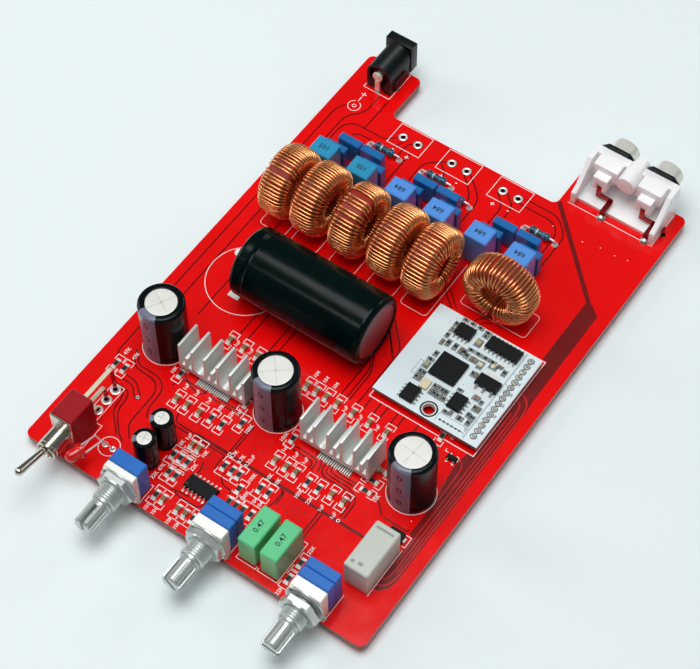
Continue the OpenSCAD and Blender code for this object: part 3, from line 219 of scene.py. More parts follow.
# Capacitors, chokes, resistors and relay
look("can", (226, 226, 220), 0.5, metal=0.35, vary=0.05, grain=500, bump=0.08, stretch=(1, 6, 1))
look("score_light", (246, 246, 240), 0.4, metal=0.3, vary=0.04)
look("end_disc", (132, 98, 102), 0.34, metal=0.85, vary=0.12, grain=340)
look("sleeve", (5, 13, 16), 0.22, vary=0.25, grain=420, bump=0.04, ior=1.27)
look("wide_sleeve", (2, 17, 17), 0.2, vary=0.25, grain=300, bump=0.03, ior=1.22)
look("stripe", (112, 116, 134), 0.34, vary=0.06, grain=500, coat=0.3)
look("copper", (240, 160, 102), 0.25, metal=0.92, vary=0.1, grain=160, bump=0, rough_vary=0.03, coat=0.2)
look("core", (146, 30, 16), 0.5, vary=0.16, grain=700, bump=0.2)
look("film", (86, 150, 230), 0.3, vary=0.05, grain=600, coat=0.3)
look("film_teal", (44, 146, 190), 0.3, vary=0.05, grain=600, coat=0.3)
look("film_deep", (28, 106, 172), 0.3, vary=0.06, grain=600, coat=0.3)
look("mint", (92, 200, 138), 0.36, vary=0.05, grain=420, coat=0.2)
look("resistor", (36, 100, 126), 0.3, vary=0.1, grain=800, coat=0.4)
look("band_dark", (24, 30, 40), 0.35, vary=0.1, grain=800, coat=0.4)
look("band_light", (176, 206, 210), 0.35, vary=0.1, grain=800, coat=0.4)
look("relay", (197, 203, 193), 0.42, vary=0.03, bump=0.1)

# Metal and mouldings
look("sink", (216, 220, 216), 0.48, metal=0.4, vary=0.04, grain=500, bump=0.1, stretch=(6, 0.4, 1))
look("zinc", (208, 214, 211), 0.36, metal=0.72, vary=0.04, grain=200, bump=0, rough_vary=0.02)
look("front", (236, 238, 232), 0.42, metal=0.35, vary=0.05, bump=0.2)
look("nickel", (214, 209, 195), 0.2, metal=1, vary=0.04, grain=150, bump=0, rough_vary=0.02)
look("socket_metal", (232, 232, 224), 0.2, metal=0.35, vary=0.04, grain=300, bump=0)
look("strip", (240, 228, 202), 0.3, metal=0.45, vary=0.06, grain=300, bump=0.02, rough_vary=0.05)
# Metal strip coloured dark red: a painted reflection of the red board beneath it
look("mirror_strip", (150, 42, 46), 0.18, metal=1, grain=400, bump=0)
look("blue", (14, 104, 192), 0.38, vary=0.05, grain=1200, bump=0.12)
look("toggle_red", (152, 8, 24), 0.42, bump=0.1, ior=1.3)
look("white", (250, 250, 250), 0.3, vary=0.02, grain=700, coat=0.2)
look("black", (8, 17, 17), 0.36, vary=0.15, grain=1300, bump=0.1, ior=1.38)

# Wireless module
look("module", (222, 237, 241), 0.3, vary=0.03, grain=500, coat=0.1)
look("module_edge", (120, 122, 118), 0.6, vary=0.12, grain=1500)
look("legend", (66, 72, 80), 0.5, vary=0.15, grain=1500)


# Shapes


def polar(r, degrees):
    turn = math.radians(degrees)
    return r * math.cos(turn), r * math.sin(turn)


def arc(middle, r, start, end, steps):
    turns = [start + (end - start) * k / steps for k in range(steps + 1)]
    return [(middle[0] + x, middle[1] + y) for x, y in (polar(r, turn) for turn in turns)]


def circle(middle, r, steps):
    return arc(middle, r, 0, 360, steps)[:-1]


def dome(r, turns, out=0.0, up=0.0, squash=1.0):
    """Profile of a rounded edge or end: part of a circle, moved out from the axis and up along it."""
    return [(max(AXIS, out + x), up + squash * y) for x, y in (polar(r, turn) for turn in turns)]


def rectangle(x0, y0, x1, y1):
    return [(x0, y0), (x1, y0), (x1, y1), (x0, y1)]


def wall(n, rings=2):
    """Faces between neighbouring closed rings of n points each."""
    return [[i * n + k, i * n + (k + 1) % n, (i + 1) * n + (k + 1) % n, (i + 1) * n + k]
            for i in range(rings - 1) for k in range(n)]


def link_object(name, data):
    thing = bpy.data.objects.new(name, data)
    bpy.context.scene.collection.objects.link(thing)
    return thing


def make_piece(name, mesh, replaces, body, sharp):
    """Links a mesh as a smooth piece with sharp edges that rides on a body."""
    mesh.polygons.foreach_set("use_smooth", [True] * len(mesh.polygons))
    mesh.set_sharp_from_angle(angle=math.radians(sharp))
    mesh.update()
    piece = link_object(name, mesh)
    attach(piece, body)
    if replaces:
        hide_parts(*replaces)
    return piece


class Shape:
    """Collects faces in board millimetres, each with a material, and makes one piece of them."""

    def __init__(self):
        self.verts = []
        self.faces = []
        self.looks = []

    def add(self, verts, faces, look):
        start = len(self.verts)
        self.verts += [tuple(v) for v in verts]
        self.faces += [[start + i for i in face] for face in faces]
        self.looks += [look] * len(faces)

    def box(self, low, high, look, cut=0.15):
        """Box with cut edges: each corner has one point on each of its three faces."""
        low, high = Vector(low), Vector(high)
        half = (high - low) / 2
        cut = min(cut, *(h * 0.49 for h in half))
        verts = []
        index = {}
        for signs in product(SIDES, repeat=3):
            for axis in range(3):
                index[signs, axis] = len(verts)
                verts.append(Vector([s * (h if k == axis else h - cut)
                                     for k, (s, h) in enumerate(zip(signs, half))]))
        faces = [[index[signs, axis] for axis in range(3)] for signs in product(SIDES, repeat=3)]
        for axis in range(3):
            a, b = (k for k in range(3) if k != axis)

            def point(along, sa, sb, face):
                signs = {axis: along, a: sa, b: sb}
                return index[(signs[0], signs[1], signs[2]), face]

            for along in SIDES:
                faces.append([point(along, sa, sb, axis) for sa, sb in CORNERS])
            for sa, sb in CORNERS:
                turns = ((-1, a), (-1, b), (1, b), (1, a))
                faces.append([point(along, sa, sb, face) for along, face in turns])
        self.add([(high + low) / 2 + v for v in verts], self.outward(verts, faces), look)

    @staticmethod
    def outward(verts, faces):
        """Turns each face of a convex form round its origin so that it looks out."""
        turned = []
        for face in faces:
            a, b, c = (verts[i] for i in face[:3])
            middle = sum((verts[i] for i in face), Vector()) / len(face)
            turned.append(face if (b - a).cross(c - a).dot(middle) > 0 else face[::-1])
        return turned

    def revolve(self, profile, base, axis, looks, sides=48, start=0.0, sweep=360.0):
        """Turns a profile of (radius, height) points about an axis; looks has one name per stretch."""
        axis = Vector(axis).normalized()
        u = axis.orthogonal().normalized() if abs(axis.z) < 0.9 else Vector(RIGHT)
        v = axis.cross(u)
        steps = sides if sweep >= 360 else sides + 1
        rings = []
        for r, h in profile:
            places = [polar(r, start + sweep * k / sides) for k in range(steps)]
            rings.append([Vector(base) + axis * h + c * u + s * v for c, s in places])
        for i in range(len(profile) - 1):
            look = looks if isinstance(looks, str) else looks[i]
            self.add(rings[i] + rings[i + 1], wall(steps)[:sides], look)

    def disc(self, middle, r, look, inner=0.0, sides=32, lift=0.0):
        """Flat disc or ring that lies on a level face."""
        z = (middle[2] if len(middle) > 2 else 0) + lift
        outer, rim = ([(x, y, z) for x, y in circle(middle, radius, sides)] for radius in (r, inner))
        if inner > 0:
            self.add(outer + rim, wall(sides), look)
        else:
            self.add(outer, [list(range(sides))], look)

    def ribbon(self, points, width, look, z, closed=False):
        """Flat line of even width along points on a level face."""
        pts = [Vector((p[0], p[1])) for p in points]
        n = len(pts)
        left, right = [], []
        for i, p in enumerate(pts):
            ahead = pts[(i + 1) % n] if closed or i < n - 1 else None
            behind = pts[i - 1] if closed or i > 0 else None
            into = (p - behind).normalized() if behind is not None else (ahead - p).normalized()
            out = (ahead - p).normalized() if ahead is not None else into
            bisector = (into + out).normalized() if (into + out).length > 1e-6 else into
            side = Vector((-bisector.y, bisector.x)) * (width / 2 / max(0.35, bisector.dot(into)))
            left.append((*(p + side), z))
            right.append((*(p - side), z))
        last = n if closed else n - 1
        self.add(left + right, [[i, n + i, n + (i + 1) % n, (i + 1) % n] for i in range(last)], look)

    def tube(self, points, r, look, sides=8):
        """Round wire along points, with a frame that doesn't twist."""
        pts = [Vector(p) for p in points]
        heading = (pts[1] - pts[0]).normalized()
        u = heading.orthogonal().normalized()
        verts = []
        for i, p in enumerate(pts):
            into = (p - pts[i - 1]).normalized() if i else heading
            out = (pts[i + 1] - p).normalized() if i < len(pts) - 1 else into
            t = (into + out).normalized()
            u = (u - t * u.dot(t)).normalized()
            v = t.cross(u)
            verts += [p + c * u + s * v for c, s in circle((0, 0), r, sides)]
        ends = [list(range(sides))[::-1], list(range(len(verts) - sides, len(verts)))]
        self.add(verts, wall(sides, len(pts)) + ends, look)

    def lead(self, x, y, top):
        """Round lead from a height down through the board."""
        self.tube([(x, y, top), (x, y, -BOARD_T)], LEAD_R, "tin")

    def make(self, name, slot, replaces=(), body="board", sharp=32):
        names = sorted(set(self.looks))
        mesh = bpy.data.meshes.new(name)
        mesh.from_pydata([to_frame(v) for v in self.verts], [], self.faces)
        for look in names:
            mesh.materials.append(MATS[look])
        mesh.polygons.foreach_set("material_index", [names.index(look) for look in self.looks])
        return make_piece(name, mesh, replaces, body, sharp)


def paint_nodes(look, *nodes):
    for node in nodes:
        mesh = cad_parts[node].data
        mesh.materials.clear()
        mesh.materials.append(MATS[look])


def softened(node, look, width):
    """A moulding or plate in the node's form, with rounded edges."""
    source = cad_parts[node]
    form = bmesh.new()
    form.from_mesh(source.data)
    form.transform(source.matrix_world)
    bmesh.ops.remove_doubles(form, verts=form.verts, dist=1e-6)
    bmesh.ops.dissolve_limit(form, angle_limit=math.radians(1), verts=form.verts, edges=form.edges)
    least = math.radians(35)
    sharp = [e for e in form.edges if len(e.link_faces) == 2 and e.calc_face_angle() > least]
    bmesh.ops.bevel(form, geom=sharp, offset=width * MM, segments=2, profile=0.5, affect="EDGES",
                    clamp_overlap=True)
    bmesh.ops.recalc_face_normals(form, faces=form.faces)
    name = node + "_softened"
    mesh = bpy.data.meshes.new(name)
    form.to_mesh(mesh)
    form.free()
    mesh.materials.clear()
    mesh.materials.append(MATS[look])
    mesh.polygons.foreach_set("material_index", [0] * len(mesh.polygons))
    make_piece(name, mesh, [node], "board", 40)


# Printed pattern of the board: gaps between copper areas show as darker lines

GAP_LINES = [
    [(5.4, 32.9), (4.3, 33.6), (3.9, 35), (3.9, 46), (3.2, 60), (3.2, 136), (4, 138.4), (5.3, 139.7)],
    [(7.1, 58), (7.1, 134.4), (7.8, 136.6), (9.6, 138.4), (10.9, 140.4), (11.3, 143), (11.2, 147.6)],
    [(14.4, 56), (14.4, 95)],
    [(14.4, 135.3), (14.4, 148)],
    [(8.3, 112), (8.3, 131), (9, 133.4), (11.3, 135.2), (21.6, 135.2), (24, 137.6)],
    [(12.8, 131.2), (14.3, 132.6), (18.6, 132.7)],
    [(28, 130), (28, 137), (29.2, 138.4)],
    [(30.6, 135), (30.6, 130), (30.6, 113)],
    [(35.6, 113), (35.6, 133), (36.4, 135), (38.6, 136.8), (40.8, 138.4)],
    [(47.4, 137.4), (50.4, 134.6), (53, 131.6), (53.5, 129.5)],
    [(48.4, 138.8), (51.6, 136.2), (54.8, 133.2), (55.9, 130.8), (55.9, 113)],
    [(58.6, 137.6), (60.8, 135.6), (62.4, 133.6), (62.4, 113)],
    [(61, 139), (64.9, 135.4), (64.9, 131)],
    [(66.4, 140), (76, 140), (78.4, 139), (81.4, 136), (82.4, 134), (82.4, 113)],
    [(65.9, 137.6), (76.2, 137.6), (78.2, 136.6), (79.8, 134.6), (80.2, 132), (80.2, 126)],
    [(40, 137), (42.8, 134.4), (42.8, 132.6)],
    [(25.2, 135), (26.6, 137)],
    [(19.9, 13.6), (15, 18.4), (14.2, 20.4), (14.2, 22.4), (13.6, 24.4), (12.4, 25.4)],
    [(22.6, 12.8), (20.4, 14), (16, 18.8), (15.4, 21), (15.4, 23), (14.8, 25), (13.6, 25.9), (8.6, 25.9),
     (7.4, 27)],
    [(10.4, 29.5), (13.8, 29.5), (17.9, 26.3), (17.9, 25.2), (16.8, 25), (14, 28), (10.4, 28)],
    [(9.6, 36), (11, 34), (18, 33.9), (20.4, 32.6), (21.6, 30.4), (21.8, 24.6), (23.4, 22)],
    [(7.8, 37.6), (9.4, 34.4), (11.4, 32.7), (17.4, 32.5), (19.4, 31.2), (20.4, 29), (20.5, 17.8),
     (23.6, 14.4)],
    [(31.6, 37.2), (24, 37.2), (22.6, 34)],
    [(29.5, 27.8), (29.8, 26.2), (31, 25.4), (37, 25.4), (40, 25.5), (48, 25.5)],
    [(30.6, 24.4), (36.4, 24.4), (40.8, 24.6), (47.2, 24.6)],
    [(47.4, 36), (47.4, 26.2)],
    [(48.2, 36), (48.2, 26.4)],
    [(23, 38.6), (27, 36.2), (30.8, 35.6), (31.6, 38.6)],
    [(33, 38.8), (33, 36.6), (43.4, 36.6)],
    [(44.8, 38.6), (43.8, 37.6), (34.8, 37.6), (34.4, 38.8)],
    [(27.6, 57.4), (27.6, 68)],
    [(61, 57), (61, 70)],
    [(62.8, 57), (62.8, 68), (61.4, 70.4), (58.4, 73)],
    [(63.8, 57), (63.8, 67), (62.2, 70.6), (60.4, 73.4)],
    [(66.2, 57), (66.2, 61), (66.2, 77.6), (56.6, 88)],
    [(64.6, 76), (56, 86)],
    [(65.8, 74.4), (58.4, 83.4)],
    [(58.4, 37.4), (66.4, 37.4), (67.8, 36.8), (68, 33.8)],
    [(60, 36.2), (67, 36.2), (67.2, 34)],
    [(66, 38.8), (69, 37.8), (69.6, 34.4)],
    [(71.2, 38.6), (71.2, 36.2), (72, 35.2), (79.6, 35.2), (82.4, 33.4), (83, 31.8), (83, 27)],
    [(72, 38.6), (72.2, 36.8), (73, 36.2), (80, 36.2)],
    [(73.2, 38.4), (74, 37.2), (80, 37.2)],
    [(70, 38.6), (70, 35.6), (71.4, 34.2), (79, 34.2), (81.4, 32.8), (82, 31), (82, 27)],
    [(69.6, 16), (76.8, 16.2), (76.8, 25.4)],
    [(77.8, 25.4), (77.8, 4), (79.6, 2.6)],
    [(65.8, 25), (65.8, 20.6), (64.6, 17)],
    [(66.4, 20.4), (66.4, 24.2), (64.8, 25)],
    [(47.4, 20), (46.8, 22), (47.2, 24.4)],
    [(50, 19), (52, 17.2), (54.8, 17.2)],
    [(43.6, 20), (44.6, 17.6), (43.8, 11)],
    [(42.8, 9), (44, 8.2), (50, 8.2), (51.4, 9.4), (51.4, 11)],
    [(41.4, 8.6), (43.2, 9.4), (46.8, 9.4), (46.8, 10.6)],
    [(90.4, 33.2), (87.6, 36.4), (84.4, 37.4)],
    [(98.6, 34), (98.6, 33.2), (91, 33.2)],
    [(71, 97.6), (65, 103)],
    [(69.8, 97), (64.2, 101.6)],
    [(79, 99.4), (77.4, 97.8), (77.4, 96.6)],
    [(81.6, 98.8), (79.6, 98), (79, 96.6)],
]
GAP_LINES += [[(x, 57.2), (x, 68)] for x in (30.3, 37.3, 39.5)]
GAP_LINES += [[(x, 57), (x, 61)] for x in (68.4, 71.4, 73.6, 76.8, 78.8, 83.2)]
BANDS = [(0.9, [(37, 25.6), (91, 25.6)]), (1.3, [(100.6, 118.6), (74.8, 144.6)])]
BARE_EDGE = [
    (98.9, 97), (100.3, 97), (100.3, 61.3), (98.4, 61.2), (97.6, 56), (98.6, 48.4), (99.4, 40), (99.2, 33),
    (100.5, 32.4), (100.5, 15), (101.8, 15.2), (103.5, 17.2), (104.2, 20), (104.3, 80), (103.9, 84),
    (103.9, 117.1), (101, 119.4), (98.9, 120.4),
]
EDGE_TRACES = [
    (0.42, [(100.4, 84.5), (102.6, 83.6), (104, 80.6), (103.9, 62), (103.6, 20.4), (102.6, 17.6),
            (100.5, 16.4)]),
    (0.34, [(100.4, 82.2), (101.8, 81.4), (102.3, 79), (102.2, 62), (102.1, 21.6), (101.6, 19.4),
            (100.5, 18.4)]),
    (0.3, [(101.2, 78), (101.2, 62), (101, 36), (101.2, 24)]),
    (0.3, [(103.1, 78), (103, 44), (102.9, 22)]),
    (0.34, [(95.4, 58.4), (98, 58.4), (99.6, 57), (99.8, 53), (99.8, 45)]),
    (0.34, [(97, 52.6), (98.2, 51.4), (98.3, 49), (99.2, 46.6)]),
]
VIAS = [
    (23.2, 33.5), (23.2, 31.9), (23.2, 30.3), (23.2, 28.7), (37.1, 27.7), (40.3, 27.5), (42.9, 27.6),
    (45.2, 27.6), (43.7, 29.3), (45.4, 29.7), (44.2, 31.1), (43.7, 24), (45, 23.1), (43.6, 22.6),
    (44.2, 18.9), (45.6, 18.9), (52.2, 32.8), (54.7, 33.5), (52.2, 30.9), (52.2, 29.2), (54.7, 30.9),
    (54.7, 29.2), (63.7, 27.3), (69.8, 22.7), (71.8, 22.7), (73.9, 22.7), (68.4, 21.3), (70.9, 21.4),
    (72.8, 21.6), (69.9, 20.3), (71.9, 20.4), (73.9, 20.3), (74.8, 27.2), (78.6, 27.2), (86.6, 34.3),
    (86.7, 31.2), (86.6, 27.9), (86.7, 19.2),
]
RING_VIAS = [(17.4, 25.7), (47.8, 25.7), (82.2, 25.8)]


def rounded(points, reach=1.7, steps=6):
    """The same way with each corner turned into a bend."""
    pts = [Vector(p) for p in points]
    way = [pts[0]]
    for a, b, c in zip(pts, pts[1:], pts[2:]):
        p = b + (a - b).normalized() * min(reach, (a - b).length * 0.48)
        q = b + (c - b).normalized() * min(reach, (c - b).length * 0.48)
        for t in (k / steps for k in range(steps + 1)):
            way.append(p * (1 - t) ** 2 + b * (2 * t * (1 - t)) + q * t * t)
    return way + [pts[-1]]


def copper_pattern():
    bare_z, band_z, gap_z, trace_z = 0.011, 0.012, 0.016, 0.02
    gap_w, via_r, ring_r, bore_r = 0.45, 0.25, 0.5, 0.32
    shape = Shape()
    shape.add([(x, y, bare_z) for x, y in BARE_EDGE], [list(range(len(BARE_EDGE)))], "band")
    for width, points in BANDS:
        shape.ribbon(points, width, "band", band_z)
    for points in GAP_LINES:
        shape.ribbon(rounded(points), gap_w, "gap", gap_z)
    for width, points in EDGE_TRACES:
        shape.ribbon(rounded(points, 2.4), width, "trace", trace_z)
    for x, y in VIAS:
        shape.disc((x, y), via_r, "via", sides=12, lift=trace_z)
        shape.disc((x, y, -BOARD_T), via_r, "via", sides=12, lift=-trace_z)
    for place in RING_VIAS:
        shape.disc(place, ring_r, "pad", inner=bore_r, sides=20, lift=trace_z)
        shape.disc(place, bore_r, "via", sides=16, lift=trace_z)
    shape.make("copper_pattern", "solder_mask")


# Legend: heights and widths of its lines

SILK_Z = 0.03
SILK_W, THIN_W, BOLD_W = 0.2, 0.15, 0.3
# Chip parts in rows: the row's place from the front edge, then the places along it
RESISTOR_ROWS = {
    5: [51.6], 5.2: [39.6, 81.6], 10.5: [81.6], 12.4: [38.2, 40.4], 14.3: [56.1, 58.3, 60.5, 63], 17.2: [36],
    17.3: [38.2, 40.4], 18.7: [56.1], 22: [48.9, 51.4, 53.6, 60.4, 63], 30.4: [69.4, 72.8], 30.7: [6.1, 9],
    31.5: [40.9], 31.6: [37.4], 34.9: [44.9], 38: [22.4], 38.8: [58.7], 40.5: [42.3], 61.6: [90.2],
}
CAPACITOR_ROWS = {
    5: [46.8, 49.2], 5.2: [42], 22.3: [38.2, 40.4], 31: [58.7, 62.2, 65.2, 76.6, 80.3],
    31.2: [26.2, 29.7, 33.7],
    54.2: [26.7, 31.3, 35.8, 52.2, 55.2, 58.4, 62, 67, 72.2, 77.7],
}


def chip_places(rows, across):
    """Place of each chip, and whether it lies across the board."""
    return [(x, y, False) for y, row in rows.items() for x in row] + [(x, y, True) for x, y in across]


RESISTORS = chip_places(RESISTOR_ROWS, [(83, 36.8), (82.9, 40.2)])
CAPACITORS = chip_places(CAPACITOR_ROWS, [(83.3, 43.9)])
OPEN_LINES = [
    [(7.6, 13.3), (15.3, 13.3), (15.3, 4.6)],
    [(37.5, 0.4), (37.5, 6.9), (36.8, 6.9)],
    [(65.3, 0.3), (65.3, 9.6)],
    [(95.5, 0.3), (95.5, 9.4)],
    [(67.1, 5.6), (67.1, 2.6), (73.1, 2.6), (73.1, 3.6)],
    [(73.7, 3.4), (73.7, 2.6), (79.8, 2.6), (79.8, 16), (78.6, 16)],
    [(100.4, 12.6), (100.4, 28)],
    [(97.4, 32.2), (100.5, 32.2), (100.5, 29), (99.6, 29)],
    [(76.8, 146), (103.8, 146)],
    [(103.8, 146), (103.8, 159)],
    [(94.2, 58.6), (93.2, 58.6), (93.2, 59.4)],
    [(97.2, 58.8), (97.6, 58.2), (97.6, 57.2)],
    [(81, 116.6), (82.6, 116.6), (82.6, 118.6), (81.6, 118.6)],
]
SILK_DOTS = ((101, 138), (92.6, 137.4), (97.2, 137.4), (87.4, 136.4), (77.8, 136.4), (97.6, 36.3))


def legend():
    shape = Shape()

    def line(points, width=SILK_W, closed=False):
        shape.ribbon(points, width, "silk", SILK_Z, closed)

    def loop(points, width=SILK_W):
        line(points, width, True)

    half_w, half_l, arm = 1.25, 2.85, 1.75
    for x, y, across in RESISTORS + CAPACITORS:
        for s in SIDES:
            hook = [(-half_w, s * (half_l - arm)), (-half_w, s * half_l), (half_w, s * half_l),
                    (half_w, s * (half_l - arm))]
            line([(x + v, y + u) if across else (x + u, y + v) for u, v in hook])
    for side in POT_NAMES:
        loop(circle(node_middle("main_sleeve_" + side), 6.62, 72))
    for number in range(1, 6):
        x = node_middle("choke_winding_%d" % number).x
        x0, x1 = x - 3.9, x + 4.6
        line(rounded([(x0, 111.5), (x0, 90.5), (x1, 90.5), (x1, 111.5)], 1.3), THIN_W)
    line(rounded([(70.5, 103), (70.5, 99.8), (91.4, 99.8), (91.4, 108.2), (88.4, 108.2)], 1.3), THIN_W)
    for x0, x1 in ((22.4, 33.3), (39.1, 50.2), (56.5, 67.5)):
        loop(rectangle(x0, 135, x1, 143))
    loop(circle((18.64, 72.35), 11.46, 96), 0.22)
    shape.disc((11.2, 79), 1.3, "silk", sides=24, lift=SILK_Z)
    loop(rectangle(67.4, 61.2, 100.15, 96.5), 0.26)
    loop([(9.5, 25.7), (9.5, 14), (13, 14), (13, 25.7)])
    loop(circle((20.7, 9.6), 2.9, 40))
    loop(rectangle(5.15, 148.2, 14.15, 159.3))
    for points in OPEN_LINES:
        line(points)
    jack = (7.05, 140.5)
    line(arc(jack, 1.9, 110, 430, 36))
    loop(circle(jack, 0.55, 18))
    line([(jack[0], 142.6), (jack[0], 144.4)], BOLD_W)
    line([(6.2, 145.6), (7.9, 145.6)], BOLD_W)
    line([(jack[0], 144.8), (jack[0], 146.4)], BOLD_W)
    line([(28.6, 131), (30.2, 131)], BOLD_W)
    for place in SILK_DOTS:
        shape.disc(place, 0.16, "silk", sides=8, lift=SILK_Z)
    shape.make("legend", "white_mask")


VALUE_LABELS = {
    "1K": [(92.6, 63)],
    "4.7K": [(48.9, 26.2), (51.3, 26.2)],
    "10K": [(20.1, 38), (42.6, 22), (35.6, 21), (60.4, 26), (63, 26), (86.6, 36.6), (46.8, 1.2), (49.3, 1.2)],
    "22K": [(41, 35.6), (81.6, 15), (81.6, 1.2), (72.8, 26.4), (35.6, 9.6), (42.6, 17.2)],
    "47K": [(6.1, 35.6), (9, 35.6), (37.5, 35.6), (35.7, 12.6)],
    "100K": [(47.5, 34.6), (56.9, 23.2), (58.5, 18), (69.4, 26.4), (56.4, 38)],
    "101": [(39.7, 1.2), (42.1, 1.2)],
    "104": [(61.4, 18), (63.2, 18), (52.2, 58.6), (55.2, 58.6), (58.4, 58.6)],
    "1nF": [(42.3, 37.2)],
    "0.22uF": [(53.4, 27)],
    "1uF": [(26, 35.6), (29.6, 35.6), (33.6, 35.6), (36, 23.8), (58.6, 35.2), (62.2, 35.2), (65.2, 35.2),
            (76.6, 26.2), (80.4, 26.2), (28.9, 54.4), (33.4, 54.4), (64.6, 54), (69.4, 54), (74.8, 54)],
}
POLARITY_Y = 133.4
POLARITY_LABELS = {
    "-": [(x, POLARITY_Y) for x in (25.5, 47.2, 64.6)],
    "+": [(x, POLARITY_Y) for x in (30.4, 42.2, 59.6)],
}


def words(name, labels, size, turn, look, z, slot):
    """Flat lettering on a level face, one mesh for all places of all labels."""
    shape = Shape()
    spin = Matrix.Rotation(math.radians(turn), 3, "Z")
    for text, places in labels.items():
        curve = bpy.data.curves.new(name, "FONT")
        curve.body = text
        curve.size = size
        curve.align_x = "CENTER"
        curve.align_y = "CENTER"
        curve.resolution_u = 2
        curve.offset = 0.012 * size
        holder = bpy.data.objects.new(name, curve)
        flat = holder.to_mesh()
        faces = [list(p.vertices) for p in flat.polygons]
        for x, y in places:
            shape.add([spin @ v.co + Vector((x, y, z)) for v in flat.vertices], faces, look)
        holder.to_mesh_clear()
        bpy.data.objects.remove(holder)
        bpy.data.curves.remove(curve)
    shape.make(name, slot)


def part_values():
    """Values on the tops of the blue and green capacitors."""
    size = 2.2
    low, high = node_box("output_capacitors")
    places = [(x, (low.y + high.y) / 2) for x in FILM_X]
    words("film_values", {"105": places[:2], "684": places[2:]}, size, 180, "ink", high.z + PRINT,
          "pale_blue_plastic")
    places = [node_middle("input_capacitor_" + side).xy for side in ("left", "right")]
    words("input_values", {"0.47": places}, size, 90, "ink",
          node_box("input_capacitor_left")[1].z + PRINT, "green_coating")


# Bare pads and soldered joints on the upper face


def pads():
    shape = Shape()

    def ring(x, y, outer, inner):
        profile = [(inner, -0.4), (inner, 0.02), ((inner + outer) / 2, 0.1), (outer, 0.025)]
        # The bore wall is painted dark grey: painted shade inside the hole
        shape.revolve(profile, (x, y, 0), UP, ["hole", "tin", "tin"], 28)

    for x in SPEAKER_X:
        for s in SIDES:
            ring(x + s * HALF_PITCH, SPEAKER_Y, 1.35, 0.72)
            shape.disc((x + s * HALF_PITCH, SPEAKER_Y), 1.52, "via", inner=1.33, lift=0.014)
    for pin in TOGGLE_PINS:
        ring(TOGGLE_X, pin[0], 1.45, 0.86)
    for x in (19.4, 21.9):
        ring(x, 9.5, 0.85, 0.4)
    shape.box((17, 65.6, 0.01), (20.5, 67.7, 0.12), "pad", 0.05)
    post = [(1.5, 0.02), (1.35, 0.5), (0.9, 1.0), (0.3, 1.25), (AXIS, 1.28)]
    for x in (87.3, 101.3):
        shape.revolve(post, (x, 146.5, 0), UP, "lead", 28)
    fillet = [(0.95, 0.02), (0.8, 0.18), (0.42, 0.55), (0.3, 0.8)]
    for x, y in RESISTOR_AT:
        for s in SIDES:
            shape.revolve(fillet, (x + s * RESISTOR_REACH, y, 0), UP, "tin", 20)
    shape.make("bare_pads", "solder")


# Surface-mount parts


def chip(shape, place, body, height, top=None):
    """Chip with metal ends on soldered pads."""
    x, y, across = place
    half_l, half_w = 1.05, 0.65
    inner = half_l - 0.3

    def block(v0, v1, w, z0, z1, look, cut):
        if across:
            shape.box((x + v0, y - w, z0), (x + v1, y + w, z1), look, cut)
        else:
            shape.box((x - w, y + v0, z0), (x + w, y + v1, z1), look, cut)

    block(-inner, inner, half_w, 0.03, height, body, 0.04)
    if top:
        block(-inner, inner, half_w - 0.03, height - 0.02, height + 0.02, top, 0.01)
    for s in SIDES:
        for near, far, *rest in (
                (inner, half_l, half_w + 0.015, 0.02, height + 0.03, "tin", 0.08),
                (half_l - 0.1, half_l + 0.62, 0.72, 0.012, 0.1, "pad", 0.06),
                (half_l - 0.05, half_l + 0.32, 0.62, 0.05, height * 0.55, "tin", 0.2)):
            block(*sorted((s * near, s * far)), *rest)


def chips():
    shape = Shape()
    for place in RESISTORS:
        chip(shape, place, "ceramic_white", 0.5, "ceramic_black")
    shape.make("chip_resistors_detailed", "black_epoxy", ["chip_resistors"])
    shape = Shape()
    for place in CAPACITORS:
        chip(shape, place, "ceramic_brown", 0.85)
    shape.make("chip_capacitors_detailed", "chip_ceramic", ["chip_capacitors"])


def gull_chip(shape, middle, size, pins, pitch, reach, pin_w, turn=0.0, mark=False, rows=(0, 1),
              pin_look="lead"):
    """Moulded package with rows of bent leads along one or two sides."""
    middle = Vector(middle)
    length, width, height = size
    seam = height * 0.48

    def place(point, row=0):
        return middle + Matrix.Rotation(math.radians(turn + 180 * row), 3, "Z") @ Vector(point)

    verts = []
    for grow, z in ((0, 0.1), (0.06, seam), (-0.1, height)):
        x, y = length / 2 + grow, width / 2 + grow
        verts += [place((sx * x, sy * y, z)) for sx, sy in CORNERS]
    shape.add(verts, [[3, 2, 1, 0], [8, 9, 10, 11]] + wall(4, 3), "epoxy")
    if mark:
        shape.disc(place((0.75 - length / 2, 0.75 - width / 2, height + 0.004)), 0.3, "mark", sides=16)
    half_t = 0.075
    foot_z = half_t + 0.02
    path = [(-0.1, seam), (0.28, seam), (0.5, foot_z), (reach, foot_z)]
    faces = [face[::-1] for face in wall(4, len(path)) + [[3, 2, 1, 0], [12, 13, 14, 15]]]
    for row in rows:
        for k in range(pins):
            x = (k - (pins - 1) / 2) * pitch
            verts = [place((x + sx * pin_w / 2, -width / 2 - out, z + sz * half_t), row)
                     for out, z in path for sx, sz in CORNERS]
            shape.add(verts, faces, pin_look)
            shape.disc(place((x, -width / 2 - reach, 0), row), pin_w * 0.75, "pad", sides=10, lift=0.015)


